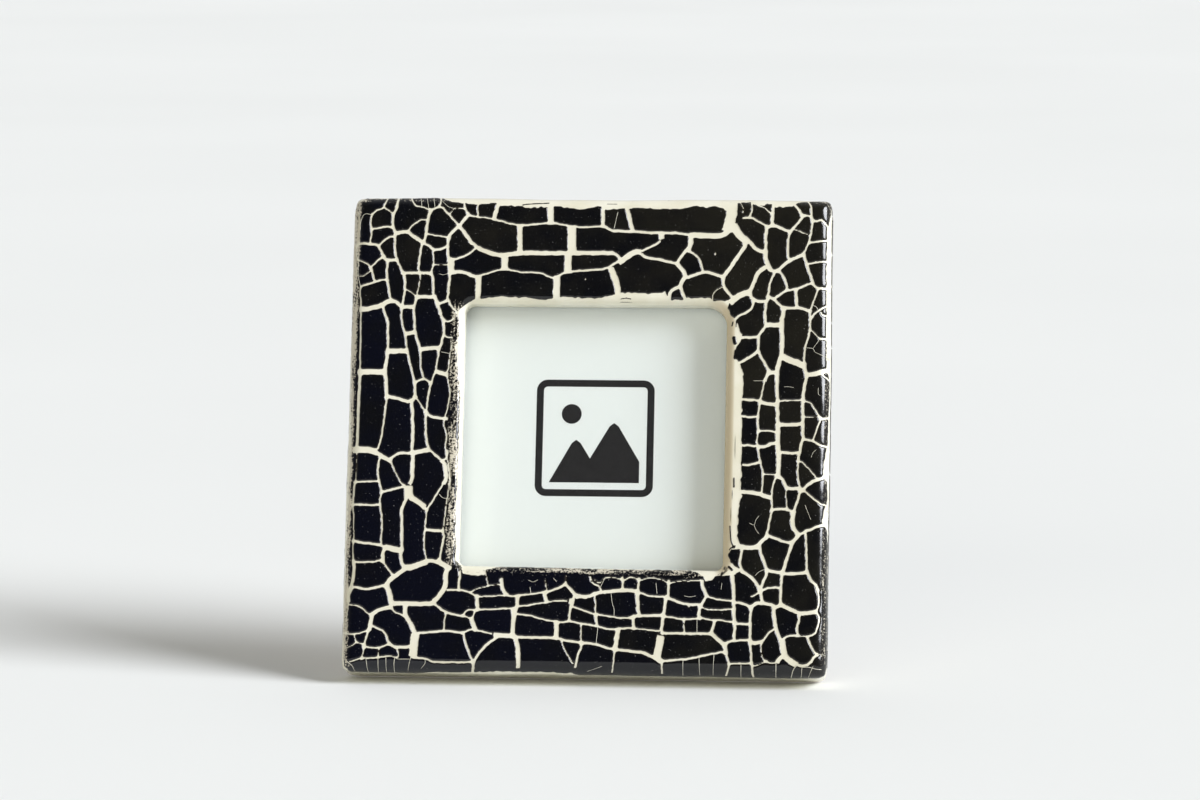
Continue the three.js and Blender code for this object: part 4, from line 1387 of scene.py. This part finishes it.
def edge_wear(points):
    """How far the glaze is worn off, which is most on the left edge and round the window's foot."""
    out, out_way = outer_edge(points)
    into, into_way = inner_edge(points)
    out_left, out_low = np.moveaxis(np.clip(-out_way, 0, 1), -1, 0)
    in_left, in_low = np.moveaxis(np.clip(-into_way, 0, 1), -1, 0)
    strength = OUTER_WEAR + OUTER_LEFT_WEAR * out_left - OUTER_LOW_RELIEF * out_low
    outer = rise(out, *OUTER_WEAR_RISE) * strength
    inner = rise(-into, *LIP_WEAR_RISE) * (LIP_WEAR + LIP_LOW_WEAR * in_low)
    inner = np.maximum(inner, rise(-into, *LIP_LEFT_WEAR_RISE) * LIP_LEFT_WEAR * in_left)
    along_side = field(points * STREAK, *SIDE_STREAKS)
    along_foot = field(points * STREAK[::-1], *FOOT_STREAKS)
    sideways = np.where(outer > inner, np.abs(out_way[..., 0]), np.abs(into_way[..., 0]))
    streaks = np.where(sideways > SIDE_BAR_FACING, along_side, along_foot)
    return np.maximum(outer, inner) * (1 + streaks)


def side_wear(points):
    """How far the glaze of the hidden sides is worn off, which is most towards the back."""
    return SIDE_WEAR + SIDE_BACK_WEAR * rise(points[..., 1], *SIDE_WEAR_RISE)


def make_crackle(name, grid, inside, pieces, onto, wear):
    """Raised black pieces as one object. Each piece has its own tint."""
    kept = np.where(pieces > 0, inside, np.minimum(inside, CHIP_DEPTH))
    points, depths, owners, faces = fill_inside(grid, kept)
    rim = np.clip(depths / RIM_WIDTH, 0, 1)
    lift = -GLAZE_SINK + (GLAZE_HEIGHT + GLAZE_SINK) * np.sqrt(1 - (1 - rim) ** 2)
    lift = lift + GLAZE_SWELL * np.clip(depths / FULL_DEPTH, 0, 1)
    places = onto(points, lift)
    shades = np.random.default_rng(TINT_SEED).uniform(-TINT_SPREAD, TINT_SPREAD, pieces.max() + 1)
    shade = shades[pieces[tuple(owners.T)]]
    tint = TINT_MIDDLE + TINT_ACROSS * places[:, 0] + TINT_UP * (places[:, 1] - MIDDLE_UP) + shade
    made = make_object(name, to_world(places), faces, BLACK_GLAZE)
    give_values(made, "rim", rim)
    give_values(made, "tint", np.clip(tint, 0, TINT_MOST))
    give_values(made, "wear", wear(points))
    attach(made, "frame")


def bar_of(across, up):
    """The bar of the frame that a point of the unrolled face belongs to."""
    if up > MIDDLE_UP + LIP_HALF:
        return "top"
    if up < MIDDLE_UP - LIP_HALF:
        return "bottom"
    return "left" if across < WINDOW_ACROSS else "right"


def make_face_crackle():
    """The crackle that the picture shows, one object for each bar of the frame."""
    reach = FACE_HALF + ROUND_LENGTH
    grid = make_grid(FRAME_MIDDLE - reach, FRAME_MIDDLE + reach)
    inside = cut_by_cracks(grid, read_lines(CRACKS))
    ragged = field(grid, *RAGGED_LIMIT)
    inside = np.minimum(inside, ragged + depth_inside(grid, on_plane(OUTER_LIMIT)))
    inside = np.minimum(inside, ragged - depth_inside(grid, on_plane(INNER_LIMIT)))
    for half_width, line in read_lines(DASHES):
        block = near_line(grid, line)
        inside[block] = np.maximum(inside[block], half_width - line_distance(grid[block], line))
    from_border = reach - np.abs(grid - FRAME_MIDDLE).max(-1) - GRID_STEP
    inside = np.minimum(inside, from_border)
    pieces = number_pieces(inside)
    bars = {"top": [], "bottom": [], "left": [], "right": []}
    for number in range(1, pieces.max() + 1):
        bars[bar_of(*grid[pieces == number].mean(0))].append(number)
    for bar, numbers in bars.items():
        own_pieces = np.where(np.isin(pieces, numbers), pieces, 0)
        make_crackle("crackle_" + bar, grid, inside, own_pieces, on_face, edge_wear)


make_face_crackle()


def in_short_steps(line):
    """The same line in steps that are short enough to follow a rounded edge."""
    parts = []
    for first, second in zip(line, line[1:]):
        count = math.ceil(np.hypot(*(second - first)) / RIDGE_STEP)
        share = np.arange(count)[:, None] / count
        parts.append(first + (second - first) * share)
    return np.vstack(parts + [line[-1:]])


def ridge_points(line, half_width):
    """Points across a ridge at each step of its line: one side, the crest and the other side."""
    points = []
    last = len(line) - 1
    for index, point in enumerate(line):
        run = line[min(index + 1, last)] - line[max(index - 1, 0)]
        across = np.array((-run[1], run[0])) / np.hypot(*run)
        width = half_width * (RIDGE_END_WIDTH if index in (0, last) else RIDGE_WIDTH)
        points.extend((point - across * width, point, point + across * width))
    return points


def ridge_faces(start, end):
    """Faces of a closed three-sided ridge, from the number of its first point to that of its last three."""
    faces = [(start, start + 1, start + 2), (end + 2, end + 1, end)]
    for low in range(start, end, 3):
        for side in range(3):
            beside = (side + 1) % 3
            faces.append((low + side, low + 3 + side, low + 3 + beside, low + beside))
    return faces


def make_fine_lines():
    """The hair-thin pale lines as low ridges, three-sided and closed, that lie on the black pieces."""
    points = []
    faces = []
    for half_width, curve in read_lines(FINE_LINES):
        start = len(points)
        points.extend(ridge_points(in_short_steps(curve), half_width))
        faces.extend(ridge_faces(start, len(points) - 3))
    lift = np.tile((RIDGE_FOOT, RIDGE_LIFT, RIDGE_FOOT), len(points) // 3)
    made = make_object("glaze_lines", to_world(on_face(np.array(points), lift)), faces, CREAM_GLAZE)
    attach(made, "frame")


make_fine_lines()


def side_cracks(first, last):
    """Cracks for the right, upper and left sides, which the picture hides: one along them and many across."""
    chance = np.random.default_rng(SIDE_SEED)
    along = np.arange(first, last, LONG_CRACK_STEP)
    middle = SIDE_MIDDLE + chance.uniform(-LONG_CRACK_SWAY, LONG_CRACK_SWAY, len(along))
    cracks = [(LONG_CRACK_HALF, smooth_line(np.stack((along, middle), -1)))]
    for near, far in ((SIDE_NEAR, SIDE_MIDDLE), (SIDE_MIDDLE, SIDE_FAR)):
        down = np.array((near - SIDE_MARGIN, (near + far) / 2, far + SIDE_MARGIN))
        place = first
        while place < last:
            place += chance.uniform(*CROSS_CRACK_GAPS)
            sway = chance.uniform(-CROSS_CRACK_SWAY, CROSS_CRACK_SWAY, len(down))
            half_width = chance.uniform(*CROSS_CRACK_HALVES)
            cracks.append((half_width, smooth_line(np.stack((place + sway, down), -1))))
    return cracks


def make_side_crackle():
    """The crackle of the three sides that the picture hides, as one object."""
    first, last = SIDE_PERIOD * SIDE_START_SHARE, 4 * SIDE_PERIOD - SIDE_END_GAP
    low = np.array((first, SIDE_NEAR - SIDE_MARGIN))
    high = np.array((last, SIDE_FAR + SIDE_MARGIN))
    grid = make_grid(low, high)
    inside = cut_by_cracks(grid, side_cracks(first, last))
    across, down = grid[..., 0], grid[..., 1]
    ragged = field(grid, *RAGGED_SIDE)
    inside = np.minimum(inside, down - SIDE_NEAR + ragged)
    inside = np.minimum(inside, SIDE_FAR - down + ragged)
    inside = np.minimum(inside, across - first - SIDE_MARGIN)
    inside = np.minimum(inside, last - SIDE_MARGIN - across)
    # Round the frame and then back is a left-handed pair, so the grid is turned over
    grid, inside = grid[::-1], inside[::-1]
    make_crackle("crackle_sides", grid, inside, number_pieces(inside), on_side, side_wear)


make_side_crackle()

# The insert's pictogram of a picture: a bordered square with a sun over two hills
SIGN_HALF = 16.0
SIGN_CORNER = 3.0
SIGN_LINE = 1.9
SIGN_STEPS = (2, 10)
SUN_PLACE = (-6.4, 6.6)
SUN_RADIUS = 2.7
SUN_STEPS = 48
HILLS = (
    (-12.2, -12.2), (-6.2, -1.4), (-5.0, -0.5), (-3.8, -1.4), (-1.2, -5.6),
    (4.0, 3.3), (5.2, 4.2), (6.4, 3.3), (12.2, -6.4), (12.2, -12.2),
)
INK_HEIGHT = 0.03
INK_SINK = 0.02


def make_plain(name, dark, pale, dull, grain, relief=None, **inputs):
    """A material whose colour, roughness and relief follow one noise, from its low to its high values."""
    low, high = 0.3, 0.7
    material, tree, shader, place = new_material(name)
    pattern = noise(tree, place, *grain)
    colour = ramp(tree, pattern, (low, dark), (high, pale))
    roughness = grey(tree, pattern, (low, dull[0]), (high, dull[1]))
    paint(tree, shader, colour, roughness)
    if relief:
        bump(tree, shader, pattern, *relief)
    for input_name, value in inputs.items():
        shader.inputs[input_name.replace("_", " ")].default_value = value
    return material


def make_paper():
    dark, pale = (0.90, 0.935, 0.925), (0.93, 0.96, 0.95)
    dull, grain, relief = (0.45, 0.6), (2500, 4, 0.6), (0.1, 0.00003)
    return make_plain("printed_paper", dark, pale, dull, grain, relief)


def make_ink():
    dark, pale = (0.012, 0.011, 0.012), (0.022, 0.020, 0.021)
    dull, grain, relief = (0.4, 0.6), (1200, 4, 0.6), (0.1, 0.00002)
    return make_plain("black_ink", dark, pale, dull, grain, relief)


def make_card():
    dark, pale = (0.36, 0.31, 0.24), (0.5, 0.44, 0.35)
    dull, grain, relief = (0.75, 0.93), (900, 5, 0.65), (0.4, 0.0001)
    return make_plain("grey_card", dark, pale, dull, grain, relief)


def make_board():
    dark, pale = (0.012, 0.011, 0.010), (0.035, 0.032, 0.028)
    dull, grain, relief = (0.6, 0.78), (700, 5, 0.65), (0.4, 0.00012)
    return make_plain("black_fibreboard", dark, pale, dull, grain, relief)


def make_nylon():
    dark, pale = (0.62, 0.61, 0.57), (0.7, 0.69, 0.65)
    dull, grain, relief = (0.4, 0.58), (800, 5, 0.65), (0.4, 0.00004)
    return make_plain("white_nylon", dark, pale, dull, grain, relief)


def make_metal(name, dark, pale, scale):
    """A dull metal. The scale is that of its grain."""
    dull, grain, relief = (0.25, 0.43), (scale, 5, 0.7), (0.25, 0.00004)
    return make_plain(name, dark, pale, dull, grain, relief, Metallic=1.0)


def make_glass():
    """Clear glass that mirrors more the more it is seen from the side."""
    material = bpy.data.materials.new("clear_glass")
    material.use_nodes = True
    tree = material.node_tree
    tree.nodes.remove(tree.nodes["Principled BSDF"])
    place = add(tree, "TexCoord").outputs["Object"]
    clear = add(tree, "BsdfTransparent", Color=(0.988, 0.996, 0.992, 1))
    smear = grey(tree, noise(tree, place, scale=60, detail=2), (0.3, 0.0), (0.8, 0.03))
    shine = add(tree, "BsdfGlossy", Roughness=smear)
    facing_away = add(tree, "LayerWeight", Blend=0.5).outputs["Facing"]
    least_shine, power = 0.04, 5.0
    share = maths(tree, "POWER", facing_away, power)
    share = maths(tree, "MULTIPLY_ADD", share, 1 - least_shine, least_shine)
    mixed = add(tree, "MixShader", Fac=share)
    connect(tree, clear.outputs[0], mixed.inputs[1])
    connect(tree, shine.outputs[0], mixed.inputs[2])
    connect(tree, mixed.outputs[0], tree.nodes["Material Output"].inputs["Surface"])
    return material


def inked(outline, is_front):
    """Places of an outline on the front or the back of the layer of ink."""
    back = PRINT_FRONT - INK_HEIGHT if is_front else PRINT_FRONT + INK_SINK
    return np.concatenate((outline, np.full((len(outline), 1), back)), -1)


def make_pictogram():
    """The border, the sun and the hills as flat prints of ink in one object."""
    inner_corner = SIGN_CORNER - SIGN_LINE
    rim, _ = loop(WINDOW_MIDDLE, SIGN_HALF, [SIGN_CORNER] * 4, *SIGN_STEPS)
    inside, _ = loop(WINDOW_MIDDLE, SIGN_HALF - SIGN_LINE, [inner_corner] * 4, *SIGN_STEPS)
    places = [inked(rim, True), inked(rim, False), inked(inside, False), inked(inside, True)]
    faces = swept_faces(len(places), len(rim))
    angle = np.linspace(0, 2 * math.pi, SUN_STEPS + 1)[:-1]
    sun = np.array(SUN_PLACE) + SUN_RADIUS * np.stack((np.cos(angle), np.sin(angle)), -1)
    for outline in (sun, np.array(HILLS)):
        first = sum(map(len, places))
        count = len(outline)
        for is_front in (True, False):
            places.append(inked(outline + WINDOW_MIDDLE, is_front))
        front = list(range(first, first + count))
        behind = list(range(first + count, first + 2 * count))
        faces.extend((front, behind[::-1]))
        for index in range(count):
            beside = (index + 1) % count
            faces.append((front[beside], front[index], behind[index], behind[beside]))
    made = make_object("print_pictogram", to_world(np.concatenate(places)), faces, make_ink())
    made.data.polygons.foreach_set("use_smooth", [False] * len(faces))
    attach(made, "frame")


make_pictogram()

# What each node of the part is made of, by the start of its name
STEEL = make_metal("zinc_steel", dark=(0.45, 0.46, 0.47), pale=(0.68, 0.68, 0.67), scale=500)
BRASS = make_metal("brass_rivet", dark=(0.55, 0.40, 0.18), pale=(0.74, 0.58, 0.3), scale=600)
BOARD = make_board()
NODE_FINISH = {
    "glass_pane": make_glass(),
    "photo_print": make_paper(),
    "filler_card": make_card(),
    "back_board": BOARD,
    "easel_strut": BOARD,
    "hinge": STEEL,
    "board_rivet": BRASS,
    "strut_rivet": BRASS,
    "turn_button": STEEL,
    "turn_screw": STEEL,
    "screw_plug": make_nylon(),
}
SOFT_EDGED = ("back_board", "easel_strut", "hinge", "turn_button")


def soften_edges(node):
    """Breaks the sharp edges of a stamped or cut piece a little."""
    soft = node.modifiers.new("soft_edges", "BEVEL")
    soft.width = EDGE_BREAK
    soft.segments = EDGE_BREAK_STEPS
    soft.limit_method = "ANGLE"
    soft.angle_limit = SHARP_ANGLE


def dress_nodes():
    """Gives the part's own nodes their materials, and the stamped and cut ones soft edges."""
    for name, node in NODES.items():
        for start, material in NODE_FINISH.items():
            if name.startswith(start):
                for slot in node.material_slots:
                    slot.material = material
        if name.startswith(SOFT_EDGED):
            soften_edges(node)


dress_nodes()


def make_floor():
    """A pale floor that reaches past what the camera sees, in metres."""
    dark, pale = (0.827, 0.839, 0.815), (0.847, 0.859, 0.835)
    dull, grain = (0.75, 0.85), (2, 2)
    material = make_plain("pale_floor", dark, pale, dull, grain, Specular_IOR_Level=0.2)
    reach = 20.0
    corners = [(-reach, -reach, 0), (reach, -reach, 0), (reach, reach, 0), (-reach, reach, 0)]
    floor = make_object("floor", corners, [(0, 1, 2, 3)], material)


make_floor()


def make_camera():
    """The camera that fits the picture."""
    data = bpy.data.cameras.new("camera")
    data.sensor_width = SENSOR_WIDTH
    data.lens = FOCAL_PIXELS / PICTURE_WIDTH * SENSOR_WIDTH
    data.clip_start = NEAREST_SEEN
    camera = bpy.data.objects.new("camera", data)
    columns = (CAMERA_RIGHT, CAMERA_UP, -CAMERA_FORWARD, CAMERA_PLACE / METRE)
    camera.matrix_world = Matrix([[column[row] for column in columns] for row in range(3)] + [[0, 0, 0, 1]])
    bpy.context.scene.collection.objects.link(camera)
    bpy.context.scene.camera = camera


make_camera()

# The direction towards each light, its strength, its width in degrees and its colour
KEY_LIGHT = ((0.81, -0.262, 0.5), 4.42, 32, (0.932, 0.949, 1.0))
FILL_LIGHT = ((-0.25, -0.95, 0.16), 1.25, 60, (1.0, 0.94, 0.80))
# The direction towards the dark part of the studio, and the studio's glow by how far a direction faces it
DARK_WAY = (0.0, -0.88, 0.47)
STUDIO_GLOW = ((0.0, 0.55), (0.4, 0.3), (0.75, 0.03))


def make_sun(name, towards, energy, angle, colour):
    data = bpy.data.lights.new(name, "SUN")
    data.energy = energy
    data.angle = math.radians(angle)
    data.color = colour
    lamp = bpy.data.objects.new(name, data)
    lamp.rotation_euler = Vector(towards).to_track_quat("Z", "Y").to_euler()
    bpy.context.scene.collection.objects.link(lamp)
    return lamp


def make_studio():
    """The glow of a studio that is dark in front, where the black glaze would mirror it."""
    world = bpy.data.worlds.new("studio")
    bpy.context.scene.world = world
    world.use_nodes = True
    tree = world.node_tree
    background = tree.nodes["Background"]
    front = add(tree, "VectorMath", {"operation": "DOT_PRODUCT"})
    connect(tree, add(tree, "TexCoord").outputs["Generated"], front.inputs[0])
    connect(tree, DARK_WAY, front.inputs[1])
    connect(tree, grey(tree, front.outputs["Value"], *STUDIO_GLOW), background.inputs["Color"])
    background.inputs["Strength"].default_value = 1.0


def make_light():
    make_sun("key", *KEY_LIGHT)
    fill = make_sun("fill", *FILL_LIGHT)
    fill.visible_glossy = False
    make_studio()
    bpy.context.scene.view_settings.view_transform = "Standard"


make_light()
